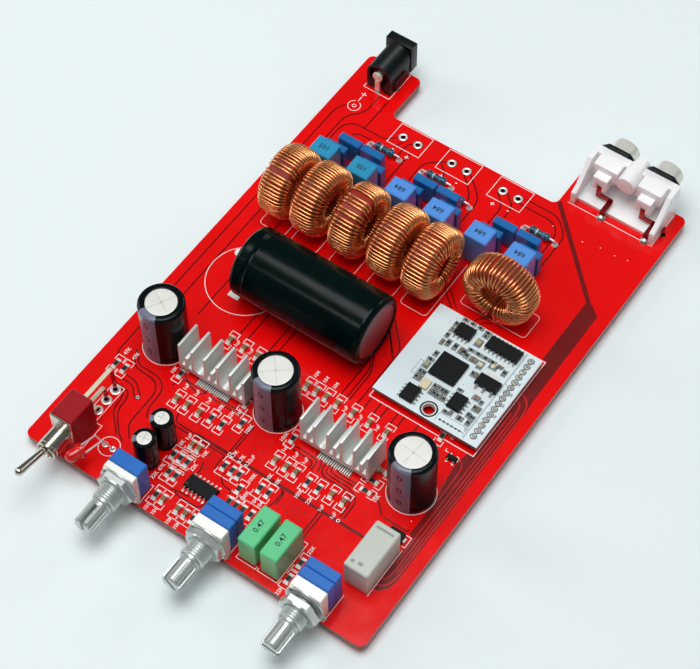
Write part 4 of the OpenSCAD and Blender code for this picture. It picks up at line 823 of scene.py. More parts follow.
def integrated_circuits():
    shape = Shape()
    y = node_middle("heatsink_left").y
    for node in ("heatsink_left", "heatsink_right"):
        x = node_middle(node).x + 0.6
        gull_chip(shape, (x, y, 0), (11, 6.2, 1.18), 16, 0.65, 2.3, 0.34, pin_look="tin")
        shape.box((x - 5.3, y - 5.5, 0.005), (x + 5.3, y - 3, 0.03), "via", 0.005)
    gull_chip(shape, (48.2, 13.1, 0), (8.7, 3.9, 1.5), 7, 1.27, 1.0, 0.42, mark=True)
    gull_chip(shape, (96, 57.4, 0), (2.9, 1.4, 1.1), 2, 1.9, 0.5, 0.45)
    y = node_box("relay")[1].y + 2.8
    shape.box((94.8, y - 1.3, 0.05), (99.2, y + 1.3, 2.2), "epoxy", 0.2)
    for x in (94.2, 99.1):
        shape.box((x, y - 0.7, 0.03), (x + 0.7, y + 0.7, 0.9), "tin", 0.1)
    shape.make("chips_detailed", "black_epoxy", ["integrated_circuits"])


# Electrolytic capacitors


def score(middle, reach, turn, stops=SIDES):
    """Straight line through the middle of a can's top."""
    x, y = polar(reach, turn)
    return [(middle[0] + x * k, middle[1] + y * k) for k in stops]


def upright_capacitor(side, stripe_turn, disc_share, score_turn):
    """Sleeve drawn in over the can's rounded shoulder, a scored top and a polarity stripe."""
    sleeve, can = "main_sleeve_" + side, "main_can_" + side
    low, high = node_box(sleeve)
    r, h = (high.x - low.x) / 2, high.z
    middle = ((low.x + high.x) / 2, (low.y + high.y) / 2, 0)
    disc_r = r * disc_share
    groove, bend, squash = 2.2, 1.15, 0.8
    profile = [(r * 0.8, 0.02), (r - 0.5, 0.02), (r - 0.12, 0.2), (r, 0.6), (r, groove - 0.5),
               (r - 0.16, groove), (r, groove + 0.5), (r, h * 0.5)]
    profile += dome(bend, range(0, 91, 15), r - bend, h - bend * squash, squash)
    profile += [(disc_r + 0.18, h - 0.01), (disc_r, h - 0.08), (disc_r - 0.04, h - 0.22)]
    shape = Shape()
    half = 27
    shape.revolve(profile, middle, UP, "sleeve", 64, stripe_turn + half, 360 - 2 * half)
    shape.revolve(profile, middle, UP, "stripe", 12, stripe_turn - half, 2 * half)
    points = 20

    def oval(share, wide, tall):
        """Points round a sign on the stripe, wide in degrees and tall in shares of the height."""
        ring = []
        for c, s in circle((0, 0), 1, points):
            x, y = polar(r + 0.02, stripe_turn + wide * c)
            ring.append((middle[0] + x, middle[1] + y, h * (share + tall * s)))
        return ring

    for share in (0.22, 0.5, 0.8):
        shape.add(oval(share, 7, 0.055) + oval(share, 4, 0.042), wall(points), "sleeve")
    top = h - 0.22
    rings = [(disc_r, top), (disc_r - 0.3, top + 0.03), (disc_r * 0.5, top + 0.05), (AXIS, top + 0.06)]
    shape.revolve(rings, middle, UP, "can", 48)
    for turn in (score_turn, score_turn + 90):
        points = score(middle, disc_r * 0.9, turn, (-1, 0, 1))
        shape.ribbon(points, 0.34, "score_light", top + 0.07)
        shape.ribbon(points, 0.12, "print", top + 0.075)
    shape.make("main_capacitor_" + side, "black_sleeve", [sleeve, can])


def small_capacitors():
    low, high = node_box("small_sleeves")
    r, h = (high.x - low.x) / 2, high.z
    disc_r = r * 0.62
    profile = [(r * 0.8, 0.02), (r - 0.3, 0.02), (r, 0.35), (r, 1.0), (r - 0.22, 1.4), (r, 1.8), (r, h - 0.6),
               (r - 0.12, h - 0.2), (r - 0.4, h), (r * 0.64, h), (disc_r, h - 0.12)]
    shape = Shape()
    for y in (low.y + r, high.y - r):
        middle = ((low.x + high.x) / 2, y, 0)
        shape.revolve(profile, middle, UP, "sleeve", 44, 238, 318)
        shape.revolve(profile, middle, UP, "stripe", 8, 196, 42)
        shape.revolve([(disc_r, h - 0.12), (r * 0.3, h - 0.08), (AXIS, h - 0.06)], middle, UP, "can", 32)
        for turn in (10, 100):
            shape.ribbon(score(middle, r * 0.5, turn), 0.1, "print", h - 0.05)
    shape.make("small_capacitors", "black_sleeve", ["small_sleeves", "small_cans"])


def reservoir():
    low, high = node_box("reservoir_sleeve")
    r, length = (high.y - low.y) / 2, high.x - low.x
    base = (low.x, (low.y + high.y) / 2, (low.z + high.z) / 2)
    round_r, disc_r = 1.6, r * 0.8
    rim = (disc_r - 0.1, length - 0.35)
    far = dome(round_r, range(0, 91, 15), r - round_r, length - round_r)
    near = [(x, length - y) for x, y in far[::-1]]
    profile = [(AXIS, 0.3), (r * 0.86, 0.3), (r * 0.88, 0.02)] + near
    profile += [(r, 3.4), (r - 0.35, 4.1), (r, 4.8)] + far
    profile += [(disc_r + 0.2, length), (disc_r, length - 0.12), rim]
    shape = Shape()
    shape.revolve(profile, base, RIGHT, "wide_sleeve", 96)
    shape.revolve([rim, (disc_r * 0.5, length - 0.25), (AXIS, length - 0.22)], base, RIGHT, "end_disc", 64)
    shape.make("reservoir_capacitor", "black_sleeve", ["reservoir_sleeve", "reservoir_can"])


# Output chokes: turns of wire, and the gaps between them as (angle, extra width)

WIRE_R = 0.38
FIRST_TURN, WOUND = -84, 348
CHOKES = [
    (57, [(121, 1.1), (111, 0.4)]),
    (58, []),
    (56, [(93, 1.5), (110, 0.7), (125, 0.5)]),
    (60, []),
    (58, [(84, 0.5)]),
    (52, [(104, 0.4), (90, 0.5), (76, 0.5), (62, 0.4)]),
]


def winding(number, turns, gaps):
    """Enamelled wire wound on a ring: even turns with a few wider gaps, doubled up inside the hole."""
    node = "choke_winding_%d" % number
    low, high = node_box(node)
    middle = node_middle(node)
    width, outer_d = sorted((high.x - low.x, high.y - low.y))
    sideways = high.x - low.x > high.y - low.y
    centre_z = high.z - outer_d / 2
    draw = random.Random(number)
    out_r, in_r = outer_d / 2 - WIRE_R, 4.9
    half_w = width / 2 - WIRE_R
    out_corner, in_corner = 2.5, 1.8
    weights = []
    for k in range(turns):
        phi = FIRST_TURN + WOUND * k / (turns - 1)
        weight = 1 + draw.uniform(-0.18, 0.18)
        weight += sum(extra for at, extra in gaps if abs(phi - at) < WOUND / turns / 2)
        weights.append(weight)
    total = sum(weights)
    edges = [FIRST_TURN + WOUND * sum(weights[:k]) / total for k in range(turns + 1)]
    corners = ((1, 1), (-1, 1), (-1, -1), (1, -1))
    section = [(cx, cy, *polar(1, 90 * k + a)) for k, (cx, cy) in enumerate(corners)
               for a in (0, 22.5, 45, 67.5, 90)]
    points = []
    for k in range(turns):
        tuck = 0.72 if k % 2 else 0.0
        lift = draw.uniform(-0.05, 0.05)
        for i, (cx, cy, c, s) in enumerate(section):
            phi = edges[k] + (edges[k + 1] - edges[k]) * i / len(section)
            corner = out_corner if cx > 0 else in_corner
            radius = (out_r + lift - corner if cx > 0 else in_r - tuck + corner) + corner * c
            across = (half_w - corner) * cy + corner * s
            if cx < 0:
                across *= 1 + tuck * 0.09
            points.append((across, *polar(radius, phi)))
    for s, (across, y, z) in ((1, points[0]), (-1, points[-1])):
        tail = [(across, y + s * 0.2, z - 0.7), (across, y + s * 0.3, -centre_z - 1.2)]
        points = tail[::-1] + points if s > 0 else points + tail
    if sideways:
        way = [(middle.x - y, middle.y + a, centre_z + z) for a, y, z in points]
    else:
        way = [(middle.x + a, middle.y + y, centre_z + z) for a, y, z in points]
    shape = Shape()
    shape.tube(way, WIRE_R, "copper", 8)
    shape.make("wound_wire_%d" % number, "copper", [node], sharp=80)


# Film capacitors, relay and resistors


def film_box(shape, x, y0, y1, top, half_w, rise, look, cut, feet, foot_top):
    """Moulded box that stands on feet, with a lead near each end."""
    shape.box((x - half_w, y0, rise), (x + half_w, y1, top), look, cut)
    for s in SIDES:
        foot = x + s * 3.0
        for front, back in feet:
            shape.box((foot - 0.5, front, 0.01), (foot + 0.5, back, foot_top), look, 0.05)
        shape.lead(x + s * HALF_PITCH, (y0 + y1) / 2, 0.5)


def film_capacitors():
    shape = Shape()
    low, high = node_box("output_capacitors")
    feet = [(low.y + 0.1, low.y + 0.9), (high.y - 0.9, high.y - 0.1)]
    for i, x in enumerate(FILM_X):
        look = "film_teal" if i < 2 else "film"
        film_box(shape, x, low.y, high.y, high.z, 3.6, 0.35, look, 0.28, feet, 0.5)
    shape.make("output_capacitors_detailed", "pale_blue_plastic", ["output_capacitors"])
    shape = Shape()
    low, high = node_box("damping_capacitors")
    thin = 2.5
    places = [(x + 0.5, low.y) for x in FILM_X]
    places += [(x + 0.3 + s * 3.8, high.y - thin) for x in FILM_GROUPS for s in SIDES]
    for x, y in places:
        feet = [(y + 0.1, y + thin - 0.1)]
        film_box(shape, x, y, y + thin, high.z, 3.58, 0.3, "film_deep", 0.22, feet, 0.45)
    shape.make("damping_capacitors_detailed", "deep_blue_plastic", ["damping_capacitors"])


def green_capacitors():
    for side in ("left", "right"):
        node = "input_capacitor_" + side
        low, high = node_box(node)
        shape = Shape()
        shape.box((low.x, low.y, 0.05), high, "mint", 0.35)
        for y in (low.y + 0.8, high.y - 0.8):
            shape.lead((low.x + high.x) / 2, y, 0.6)
        piece = shape.make(node + "_detailed", "green_coating", [node])
        soften = piece.modifiers.new("soften", "BEVEL")
        soften.width = 0.2 * MM
        soften.segments = 3
        soften.limit_method = "ANGLE"


def relay():
    low, high = node_box("relay")
    shape = Shape()
    shape.box((low.x, low.y, 0.9), high, "relay", 0.35)
    shape.box((low.x + 0.12, low.y + 0.12, 0.02), (high.x - 0.12, high.y - 0.12, 0.95), "relay", 0.1)
    top = high.z + PRINT
    shape.ribbon([(low.x + 0.9, high.y - 1.7), (high.x - 1, high.y - 1.7)], 0.7, "print", top)
    shape.disc((low.x + 1.5, low.y + 1.9, top), 0.55, "print", sides=20)
    shape.ribbon([(low.x + 3, low.y + 2.2), (low.x + 4.4, low.y + 2.2)], 1.0, "print", top)
    for y in (1.9, 5.1, 7.6, 12.7):
        for s in SIDES:
            shape.lead((low.x + high.x) / 2 + s * HALF_PITCH, low.y + y, 0.3)
    shape.make("relay_detailed", "relay_plastic", ["relay"])


RESISTOR_PROFILE = [
    (AXIS, -3.2), (0.55, -3.2), (0.95, -3.0), (1.15, -2.75), (1.2, -2.3), (1.18, -1.75), (0.98, -1.35),
    (0.95, -1.0), (0.95, -0.62), (0.95, -0.3), (0.95, 0.05), (0.95, 0.4), (0.95, 0.72), (0.98, 1.3),
    (1.18, 1.75), (1.2, 2.1), (1.2, 2.45), (1.15, 2.75), (0.95, 3.0), (0.55, 3.2), (AXIS, 3.2),
]
# Stretches of the profile that carry a coloured band
RESISTOR_BANDS = {4: "band_dark", 7: "band_light", 9: "band_dark", 11: "band_dark", 15: "band_dark"}


def resistors():
    shape = Shape()
    looks = [RESISTOR_BANDS.get(i, "resistor") for i in range(len(RESISTOR_PROFILE) - 1)]
    lift = 1.3
    bend = [(3.1, lift), (4.55, lift), (4.9, lift - 0.12), (5.06, lift - 0.45), (RESISTOR_REACH, lift - 0.8),
            (RESISTOR_REACH, -BOARD_T)]
    for x, y in RESISTOR_AT:
        shape.revolve(RESISTOR_PROFILE, (x, y, lift), RIGHT, looks, 28)
        for s in SIDES:
            shape.tube([(x + s * out, y, z) for out, z in bend], LEAD_R, "tin", 10)
    shape.make("resistors_detailed", "resistor_lacquer", ["damping_resistors"])


# Panel parts

SLOT_TURN = {"left": 90, "middle": 50, "right": 10}
SHAFT_R, ROOT_R = 2.95, 2.45
SPLINE_L = 6.6
HALF_SLOT = 0.5
TEETH = 7


def thread(shape, x, z, y0, y1, r):
    """Ridges of a thread along Y."""
    pitch, depth = 0.78, 0.38
    count = int((y1 - y0) / pitch)
    profile = []
    for k in range(count):
        y = k * pitch
        profile += [(r - depth, y), (r - depth, y + pitch * 0.18)]
        profile += [(r, y + pitch * 0.5), (r, y + pitch * 0.68)]
    profile += [(r - depth, count * pitch)]
    shape.revolve(profile, (x, y0, z), REAR, "zinc", 40)


def splined_shaft(name):
    """Turned shaft with a neck and a splined end, which is split by a slot."""
    node = "pot_%s_shaft" % name
    low, high = node_box(node)
    x, z = (low.x + high.x) / 2, (low.z + high.z) / 2
    front, back = low.y, high.y
    neck = front + SPLINE_L
    collar_r = (high.x - low.x) / 2
    shape = Shape()
    profile = [(AXIS, back), (collar_r - 0.1, back), (collar_r, back - 0.1), (collar_r, back - 1.1),
               (SHAFT_R, back - 1.1), (SHAFT_R, neck + 1.0), (SHAFT_R - 0.2, neck + 0.8),
               (ROOT_R, neck + 0.8), (ROOT_R, neck - 0.4), (AXIS, neck - 0.4)]
    shape.revolve(profile, (x, 0, z), REAR, "zinc", 48)
    tooth = ((0.0, ROOT_R), (0.22, SHAFT_R), (0.62, SHAFT_R), (0.84, ROOT_R))
    first, span, flank = 9.9, 160.2, 2.72
    section = [polar(r, first + span * (k + share) / TEETH) for k in range(TEETH) for share, r in tooth]
    section.append(polar(ROOT_R, first + span))
    section = [(-flank, HALF_SLOT)] + section[::-1] + [(flank, HALF_SLOT)]
    n = len(section)
    c, s = polar(1, SLOT_TURN[name])
    along, across = Vector((c, -s)), Vector((s, c))
    for side in SIDES:
        rings = []
        for y, scale in ((neck, 1.0), (front + 0.45, 1.0), (front + 0.02, 0.86)):
            places = [u * scale * along + side * (HALF_SLOT + (v - HALF_SLOT) * scale) * across
                      for u, v in section]
            rings.append([(x + p.x, y, z + p.y) for p in places])
        for a, b in zip(rings, rings[1:]):
            shape.add(a + b, wall(n), "zinc")
        for ring in (rings[-1], rings[0]):
            shape.add(ring, [list(range(n))], "zinc")
    shape.make("shaft_%s_splined" % name, "zinc", [node], node, sharp=20)


def hex_nut(shape, x, y, z, flat_r, t, turn):
    """Hexagon with turned corners on its front, a bore and a small countersink."""
    sides = 72
    turns = [360 * k / sides for k in range(sides)]
    hexagon = [flat_r / math.cos(math.radians((a + 30) % 60 - 30)) for a in turns]
    rings = [(0, hexagon), (-t + 0.42, hexagon), (-t, [min(flat_r * 0.99, r) for r in hexagon])]
    rings += [(y_at, [r] * sides) for r, y_at in ((3.8, -t), (3.5, -t + 0.25), (3.5, 0))]
    placed = []
    for y_at, radii in rings:
        places = [polar(r, a + turn) for r, a in zip(radii, turns)]
        placed.append([(x + c, y + y_at, z + s) for c, s in places])
    for a, b in zip(placed, placed[1:] + placed[:1]):
        shape.add(a + b, wall(sides), "zinc")


def potentiometers():
    nuts, washers = Shape(), Shape()
    washer = [(3.6, -0.5), (5.7, -0.5), (5.8, -0.42), (5.8, -0.08), (5.7, 0), (3.6, 0)]
    mouth = [(3.04, 7), (3.04, 0), (3.1, -0.02), (3.12, 0.25)]
    for name, slack, turn in (("left", 0, 30), ("middle", 0, 60), ("right", 1.3, 90)):
        low, high = node_box("pot_%s_body" % name)
        top = high.z
        gangs = 1 if high.y - low.y < 5 else 2
        depth = (high.y - low.y) / gangs
        x = (low.x + high.x) / 2
        shape = Shape()
        for k in range(gangs):
            front = low.y + k * depth + (0.06 if k else 0)
            shape.box((low.x, front, 0.5), (high.x, low.y + (k + 1) * depth, top), "blue", 0.22)
            for s in (-1, 0, 1):
                shape.lead(x + s * 2.5, low.y + (k + 0.5) * depth, 0.7)
        shape.make("pot_%s_body_detailed" % name, "blue_moulding", ["pot_%s_body" % name])
        low, high = node_box("pot_%s_bushing" % name)
        x = (low.x + high.x) / 2
        z = node_middle("pot_%s_shaft" % name).z
        shape = Shape()
        shape.box((low.x + 0.1, 0, 0.4), (high.x - 0.1, high.y, top - 0.2), "front", 0.25)
        shape.box((low.x + 0.2, -0.5, z + 2.9), (low.x + 1.4, 0.3, z + 4.9), "front", 0.15)
        for s in SIDES:
            lug, middle = x + s * 4.45, high.y / 2
            shape.box((lug - 0.35, middle - 0.55, -BOARD_T), (lug + 0.35, middle + 0.55, 1), "front", 0.1)
        thread(shape, x, z, low.y + 0.25, -0.2, 3.5)
        shape.revolve(mouth, (x, low.y, z), REAR, "zinc", 40)
        shape.make("pot_%s_front_detailed" % name, "zinc", ["pot_%s_bushing" % name], sharp=20)
        washers.revolve(washer, (x, 0, z), REAR, "zinc", 56)
        hex_nut(nuts, x, -0.52 - slack, z, 5.0, 2.0, turn)
        splined_shaft(name)
    washers.make("washers_detailed", "zinc", ["pot_washers"])
    nuts.make("nuts_detailed", "zinc", ["pot_nuts"], sharp=12)


def toggle_terminal(shape, start, y, z):
    """Flat strip from the switch back to its hole and down, with a soldered joint."""
    half_w, half_t, bend = 0.62, 0.14, 0.5
    way = [(start, z), (y - bend, z)]
    way += [(y - bend + c, z - bend + s) for c, s in (polar(bend, a) for a in (60, 30, 0))]
    way = [Vector(p) for p in way + [(y, -BOARD_T - 0.6)]]
    last = len(way) - 1
    left, right = [], []
    for i, p in enumerate(way):
        ahead = way[min(i + 1, last)] - way[max(i - 1, 0)]
        side = Vector((-ahead.y, ahead.x)).normalized() * half_t
        left.append(p + side)
        right.append(p - side)
    # The last stretch, the leg that goes down to the board, gets a painted reflection of the red board in its
    # colour
    for i in range(last):
        corners = [(TOGGLE_X + s * half_w, *p) for s in SIDES
                   for p in (left[i], left[i + 1], right[i + 1], right[i])]
        shape.add(corners, [[0, 1, 5, 4], [3, 7, 6, 2], [0, 3, 2, 1], [4, 5, 6, 7]],
                  "mirror_strip" if i == last - 1 else "strip")
    shape.revolve([(1.2, 0.03), (0.95, 0.2), (0.7, 0.5)], (TOGGLE_X, y, 0), UP, "tin", 24)


def toggle_switch():
    low, high = node_box("toggle_body")
    shape = Shape()
    shape.box(low, high, "toggle_red", 0.25)
    back = (high.x - 0.4, high.y + 0.25, high.z - 0.6)
    shape.box((low.x + 0.4, high.y - 0.02, 0.6), back, "toggle_red", 0.2)
    shape.make("toggle_body_detailed", "red_moulding", ["toggle_body"])
    shape = Shape()
    for y, z in TOGGLE_PINS:
        toggle_terminal(shape, high.y - 0.5, y, z)
    shape.make("toggle_terminals_detailed", "tinned_metal", ["toggle_terminals"])
    low, high = node_box("toggle_bushing")
    bushing_r = 2.95
    profile = [(1.86, 2.9), (2.42, 0.06), (2.6, 0), (2.85, 0.08), (bushing_r, 0.3), (bushing_r, 0.9),
               (2.82, 1.0), (2.82, 1.25), (bushing_r, 1.35), (bushing_r, high.y - low.y - 0.3)]
    shape = Shape()
    shape.box((low.x, high.y - 0.6, low.z), high, "nickel", 0.12)
    shape.revolve(profile, (TOGGLE_X, low.y, TOGGLE_Z), REAR, "nickel", 64)
    shape.make("toggle_bushing_detailed", "nickel", ["toggle_bushing"])
    forward, upward = polar(1, 14)
    pivot_y, length, tip, neck, ball = 1.28, 16.2, 1.2, 0.85, 2.2
    profile = dome(ball, range(-90, 68, 12)) + [(neck, 2.1), (neck, length * 0.4), (tip, length - tip)]
    profile += dome(tip, range(15, 91, 15), up=length - tip)
    shape = Shape()
    shape.revolve(profile, (TOGGLE_X, pivot_y, TOGGLE_Z), (0, -forward, upward), "nickel", 40)
    shape.make("toggle_lever_detailed", "nickel", ["toggle_lever"], "toggle_lever")


def lamp_lens():
    """Round lamp with a stepped collar and a domed end."""
    ahead, aside = polar(1, 19)
    r, collar, length = 1.72, 2.1, 5.0
    profile = [(AXIS, 0), (collar - 0.1, 0), (collar, 0.1), (collar, 0.85), (collar - 0.1, 0.95),
               (r + 0.05, 1.0), (r, 1.1)] + dome(r, range(0, 91, 10), up=length - r)
    shape = Shape()
    shape.revolve(profile, (18.3, 2.5, 6), (-aside, -ahead, 0), "lens", 40)
    shape.make("lamp_lens_detailed", "lamp_plastic", ["lamp_lens"])


def power_jack():
    """Riveted front contact and its foot; a plain plate over the side contact."""
    y = node_box("dc_jack_contacts")[0].y
    low, high = node_box("dc_jack_housing")
    x, z = 9.6, 6.4
    rivet = [(1.55, 0.02), (1.5, -0.16), (1.2, -0.22), (0.95, -0.1), (0.8, -0.12), (0.5, -0.3), (AXIS, -0.36)]
    shape = Shape()
    shape.revolve(rivet, (x, y, z), REAR, "socket_metal", 32)
    shape.box((x - 0.8, y - 0.06, 0.04), (x + 0.8, y + 0.1, 1.5), "tin", 0.03)
    shape.make("power_jack_rivet", "tinned_metal")
    body_w = 9.0
    edge = high.x - (high.x - low.x - body_w) / 2
    shape = Shape()
    shape.box((edge - 0.3, BOARD_D - 8.2, 0.05), (edge + 0.05, BOARD_D - 2.9, 4.4), "black", 0.04)
    shape.make("power_jack_side", "black_plastic")


def phono_linings():
    """Sprung centre contacts inside the two phono sockets, with painted shade on the bottom of each bore."""
    back = node_box("phono_shells")[1].y
    profile = [(AXIS, -9.6), (1.3, -9.6), (1.56, -9.2), (1.56, -1.6), (1.58, -1.2)]
    shape = Shape()
    for x in PHONO_X:
        # The bottom disc and its rim are painted dark grey: painted shade at the end of the bore
        shape.revolve(profile, (x, back, PHONO_Z), REAR, ["hole", "hole", "nickel", "nickel"], 36)
    shape.make("phono_linings", "nickel", sharp=40)


# Wireless module: small parts by look, each with its place, width and depth

MODULE_LOW, MODULE_HIGH = node_box("module_board")
MODULE_PARTS = {
    "ceramic_black": [
        (76.3, 94.1, 1.4, 0.7), (78.6, 94.1, 1.4, 0.7), (81.0, 94.1, 1.4, 0.7), (83.5, 93.9, 1.5, 0.7),
        (83.5, 92.6, 1.3, 0.7), (74.8, 91.6, 0.7, 1.4), (74.8, 87.2, 0.7, 1.4), (76.4, 85.3, 0.85, 2.0),
        (78.6, 85.3, 0.85, 2.0), (81.6, 85.1, 0.7, 1.9), (82.7, 84.6, 0.7, 1.5), (82.7, 86.8, 1.5, 0.7),
        (85.0, 86.8, 1.6, 0.75), (87.3, 86.8, 1.6, 0.75), (89.5, 86.8, 1.6, 0.75), (93.9, 85.6, 0.85, 1.7),
        (87.1, 80.8, 0.65, 1.5), (75.6, 80.5, 0.8, 1.6), (75.4, 78.3, 1.6, 0.75), (75.2, 73.6, 0.65, 1.5),
        (76.3, 73.6, 0.65, 1.5), (75.2, 71.6, 0.65, 1.4), (81.0, 71.8, 0.65, 1.5), (82.1, 69.8, 0.65, 1.4),
        (83.4, 71.8, 0.65, 1.5), (84.6, 71.8, 0.65, 1.5), (83.2, 69.7, 0.6, 1.3), (85.2, 69.7, 0.6, 1.3),
        (87.2, 74.6, 1.4, 0.6), (93.9, 74.4, 0.65, 1.2), (93.3, 72.1, 0.65, 1.6), (93.1, 69.4, 0.65, 1.4),
        (94.4, 69.1, 1.0, 1.4), (94.4, 67.2, 0.9, 1.4), (91.8, 67.2, 1.6, 1.1), (87.6, 66.8, 1.3, 0.7),
    ],
    "ceramic_brown": [
        (74.8, 89.4, 0.7, 1.4), (74.8, 84.6, 0.7, 1.6), (80.5, 85.1, 0.8, 1.9), (84.9, 84.5, 2.1, 1.3),
        (91.9, 86.6, 1.4, 0.7), (88.2, 80.8, 0.65, 1.5), (76.3, 71.6, 0.65, 1.4), (82.1, 71.8, 0.65, 1.5),
        (81.0, 69.8, 0.65, 1.4), (84.2, 69.7, 0.6, 1.3), (92.0, 74.9, 1.7, 1.2), (94.5, 72.1, 0.65, 1.6),
        (89.0, 67.2, 0.6, 1.2),
    ],
    "crystal": [(87.3, 84.1, 1.2, 2.2), (90.4, 85.5, 1.9, 1.2)],
    "olive": [(83.1, 89.8, 1.5, 2.2), (75.4, 76.2, 1.3, 1.9)],
}


def module_chips():
    x0, y0, z = MODULE_LOW.x, MODULE_LOW.y, MODULE_HIGH.z
    shape = Shape()

    def box(low, high, look, cut):
        """Box whose corners are given from the module's front left corner."""
        corner = Vector((x0, y0, z))
        shape.box(corner + Vector(low), corner + Vector(high), look, cut)

    for x, y, length, pins, turn in ((9.4, 3.9, 4.9, 4, 90), (21.2, 8.5, 4.9, 4, 90), (10.7, 28.2, 4.9, 4, 0),
                                     (22.4, 29.3, 9.9, 8, 0)):
        gull_chip(shape, (x0 + x, y0 + y, z), (length, 3.9, 1.5), pins, 1.27, 0.95, 0.42, turn,
                  pin_look="end_tin")
    gull_chip(shape, (x0 + 24.7, y0 + 17.9, z), (6.5, 3.5, 1.6), 3, 2.3, 1.3, 0.75, rows=(0,),
              pin_look="end_tin")
    box((23, 19.6, 0), (26.3, 20.6, 0.3), "tin", 0.05)
    box((9.5, 12, 0.02), (17.5, 20, 1.0), "epoxy", 0.14)
    half = 0.14
    for side in range(4):
        turn = Matrix.Rotation(math.radians(90 * side), 3, "Z")
        for k in range(12):
            pin = Vector((13.5, 16, 0)) + turn @ Vector(((k - 5.5) * 0.6, -4.15, 0))
            box((pin.x - half, pin.y - half, 0.01), (pin.x + half, pin.y + half, 0.2), "tin", 0.02)
    box((9.75, 7, 0.02), (12.25, 10.2, 0.8), "crystal", 0.1)
    shape.make("module_chips_detailed", "black_epoxy", ["module_chips"])


def module_small_parts():
    z = MODULE_HIGH.z
    margin = 0.2
    shape = Shape()
    for look, parts in MODULE_PARTS.items():
        top = z + (0.5 if look == "ceramic_black" else 0.75)
        for x, y, w, d in parts:
            x0, y0, x1, y1 = x - w / 2, y - d / 2, x + w / 2, y + d / 2
            shape.box((x0, y0, z + 0.02), (x1, y1, top), "end_tin", 0.06)
            half_w, half_d = (w * 0.24, d / 2 + 0.01) if w > d else (w / 2 + 0.01, d * 0.24)
            shape.box((x - half_w, y - half_d, z + 0.03), (x + half_w, y + half_d, top + 0.02), look, 0.04)
            border = rectangle(x0 - margin, y0 - margin, x1 + margin, y1 + margin)
            shape.ribbon(border, 0.16, "ink", z + PRINT, True)
    shape.make("module_small_parts", "black_epoxy")


def module_pads():
    z = MODULE_HIGH.z
    shape = Shape()

    def line(points, width, look="legend", closed=False):
        shape.ribbon(points, width, look, z + PRINT, closed)

    def dot(x, y, r, look, inner=0.0, sides=32, lift=PRINT):
        shape.disc((x, y, z), r, look, inner, sides, lift)

    x, y = MODULE_LOW.x + 16, MODULE_LOW.y + 2.9
    dot(x, y, 2.5, "ink", 2.0)
    dot(x, y, 1.98, "pad", 1.72, lift=0.014)
    # Dark grey ring inside the pad ring: painted shade in the mouth of the hole
    dot(x, y, 1.72, "hole", 1.52, lift=0.014)
    for x in (95.55, 95.8):
        line([(x, MODULE_LOW.y + 0.6), (x, MODULE_HIGH.y - 0.4)], 0.09)
    for k in range(6):
        dot(87.7 + k * 1.22, 64.05, 0.34, "ink", sides=12)
        dot(88.3 + k * 1.22, 64.05, 0.2, "legend", sides=10)
    line([(86.6, 63.2), (86.6, 65.9), (95, 65.9), (95, 63.2)], 0.1)
    line(rectangle(73.2, 72.1, 74.3, 76.8), 0.1, closed=True)
    dot(94.9, 65.5, 0.45, "legend", 0.32, 20)
    shape.box((90.4, 82.5, z + 0.01), (93.9, 83.8, z + 0.14), "pad", 0.05)
    for y in (68.9, 75, 79, 83, 87):
        line([(95.8, y), (96.5, y)], 0.12)
        line([(99.1, y - 2.6), (99.1, y - 1.6)], 0.5, "print")
    for x, y in ((77.2, 91.4), (78.8, 91.4), (73.8, 93.2), (72.9, 91.4), (86.9, 76.6)):
        dot(x, y, 0.13, "legend", sides=8)
    low, high = node_box("module_header")
    x = (low.x + high.x) / 2
    joint = [(0.84, PRINT), (0.74, 0.1), (0.42, 0.36), (0.34, 0.55), (AXIS, 0.57)]
    for k in range(15):
        y = low.y + 1 + 2.0 * k
        dot(x, y, 0.98, "ink", 0.84, 24)
        # The dark band where the solder meets the pin is painted shade
        shape.revolve(joint, (x, y, z), UP, ["lead", "pad", "hole", "lead"], 20)
    shape.make("module_pads", "solder")


def module_edge():
    """Bare cut edges on the module's front and left side."""
    low, high = MODULE_LOW, MODULE_HIGH
    skin = 0.02
    shape = Shape()
    for x1, y1 in ((high.x, low.y + skin), (low.x + skin, high.y)):
        shape.box((low.x, low.y, low.z + 0.02), (x1, y1, high.z - 0.05), "module_edge", 0.005)
    shape.make("module_edge", "white_mask")


# Camera, light and floor

CAMERA_AT = (228.09, -174.21, 457.51)
CAMERA_RIGHT = Vector((0.8192, 0.5735, -0.0039))
CAMERA_UP = Vector((-0.4757, 0.6833, 0.5539))
CAMERA_BACK = Vector((0.3203, -0.4519, 0.8326))
LENS = 104.73


def camera():
    data = bpy.data.cameras.new("photo_view")
    data.lens = LENS
    data.sensor_width = 36
    data.sensor_fit = "HORIZONTAL"
    data.dof.use_dof = False
    data.clip_start = 0.01
    data.clip_end = 20
    view = link_object("photo_view", data)
    turn = Matrix((CAMERA_RIGHT, CAMERA_UP, CAMERA_BACK)).transposed().to_4x4()
    view.matrix_world = Matrix.Translation(to_frame(CAMERA_AT)) @ turn
    bpy.context.scene.camera = view


def lamp(name, place, target, size, power):
    data = bpy.data.lights.new(name, "AREA")
    data.shape = "RECTANGLE"
    data.size, data.size_y = size
    data.energy = power
    light = link_object(name, data)
    light.location = place
    light.rotation_euler = (Vector(target) - Vector(place)).to_track_quat("-Z", "Y").to_euler()


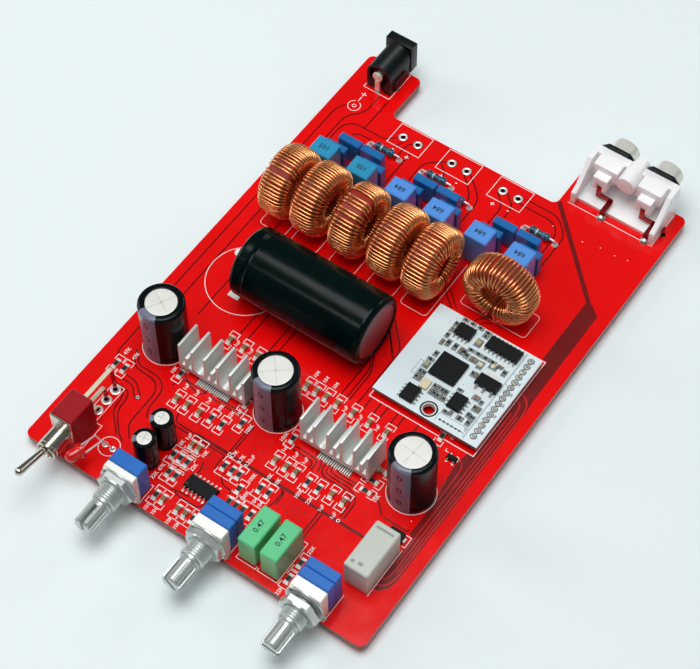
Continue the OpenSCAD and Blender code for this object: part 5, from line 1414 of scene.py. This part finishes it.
def studio():
    reach = 3.0
    mesh = bpy.data.meshes.new("floor")
    mesh.from_pydata([(reach * x, reach * y, 0) for x, y in CORNERS], [], [[0, 1, 2, 3]])
    mesh.materials.append(Paint("pale_floor", (234, 244, 245), 0.7, vary=0.012, grain=30, bump=0).mat)
    link_object("floor", mesh)
    lamp("key", (-0.06, -0.05, 1.1), (0, 0, 0), (0.75, 0.75), 9.9)
    lamp("side", (-0.95, -0.15, 0.5), (0, 0, 0.01), (0.35, 0.6), 2.3)
    lamp("rear", (0.35, 1.0, 0.55), (0, 0, 0.01), (0.7, 0.35), 1.9)
    lamp("glint", (-0.35, -0.75, 0.9), (0, 0.02, 0.01), (0.14, 0.14), 0.55)
    world = bpy.data.worlds.new("soft_room")
    world.use_nodes = True
    fill(world.node_tree.nodes["Background"], {"Color": (0.93, 0.97, 1.0, 1), "Strength": 0.11})
    bpy.context.scene.world = world
    bpy.context.scene.view_settings.view_transform = "Standard"


def carried_over():
    """Better finishes for the CAD nodes that stay as they are."""
    paint_nodes("mask", "circuit_board")
    paint_nodes("tin", "solder_joints", "lug_joints", "pot_terminals", "reservoir_lugs", "lamp_leads")
    # The phono contacts get a painted reflection of the red board in their colour
    paint_nodes("mirror_strip", "phono_contacts")
    paint_nodes("strip", "dc_jack_contacts")
    paint_nodes("core", "choke_cores")
    paint_nodes("module", "module_board")
    paint_nodes("black", "module_header")
    paint_nodes("socket_metal", "phono_shells")


camera()
studio()
carried_over()
for side in ("left", "right"):
    softened("heatsink_" + side, "sink", 0.12)
softened("phono_housing", "white", 0.22)
softened("phono_spacers", "black", 0.1)
softened("dc_jack_housing", "black", 0.2)
copper_pattern()
legend()
words("value_labels", VALUE_LABELS, 1.5, 90, "silk", SILK_Z, "white_mask")
words("polarity_labels", POLARITY_LABELS, 2.6, 180, "silk", SILK_Z, "white_mask")
pads()
part_values()
chips()
integrated_circuits()
upright_capacitor("left", 265, 0.68, 62)
upright_capacitor("middle", 267, 0.72, 40)
upright_capacitor("right", 272, 0.74, 84)
small_capacitors()
reservoir()
for number, (turns, gaps) in enumerate(CHOKES, 1):
    winding(number, turns, gaps)
film_capacitors()
green_capacitors()
relay()
resistors()
potentiometers()
toggle_switch()
lamp_lens()
power_jack()
phono_linings()
module_chips()
module_small_parts()
module_pads()
module_edge()
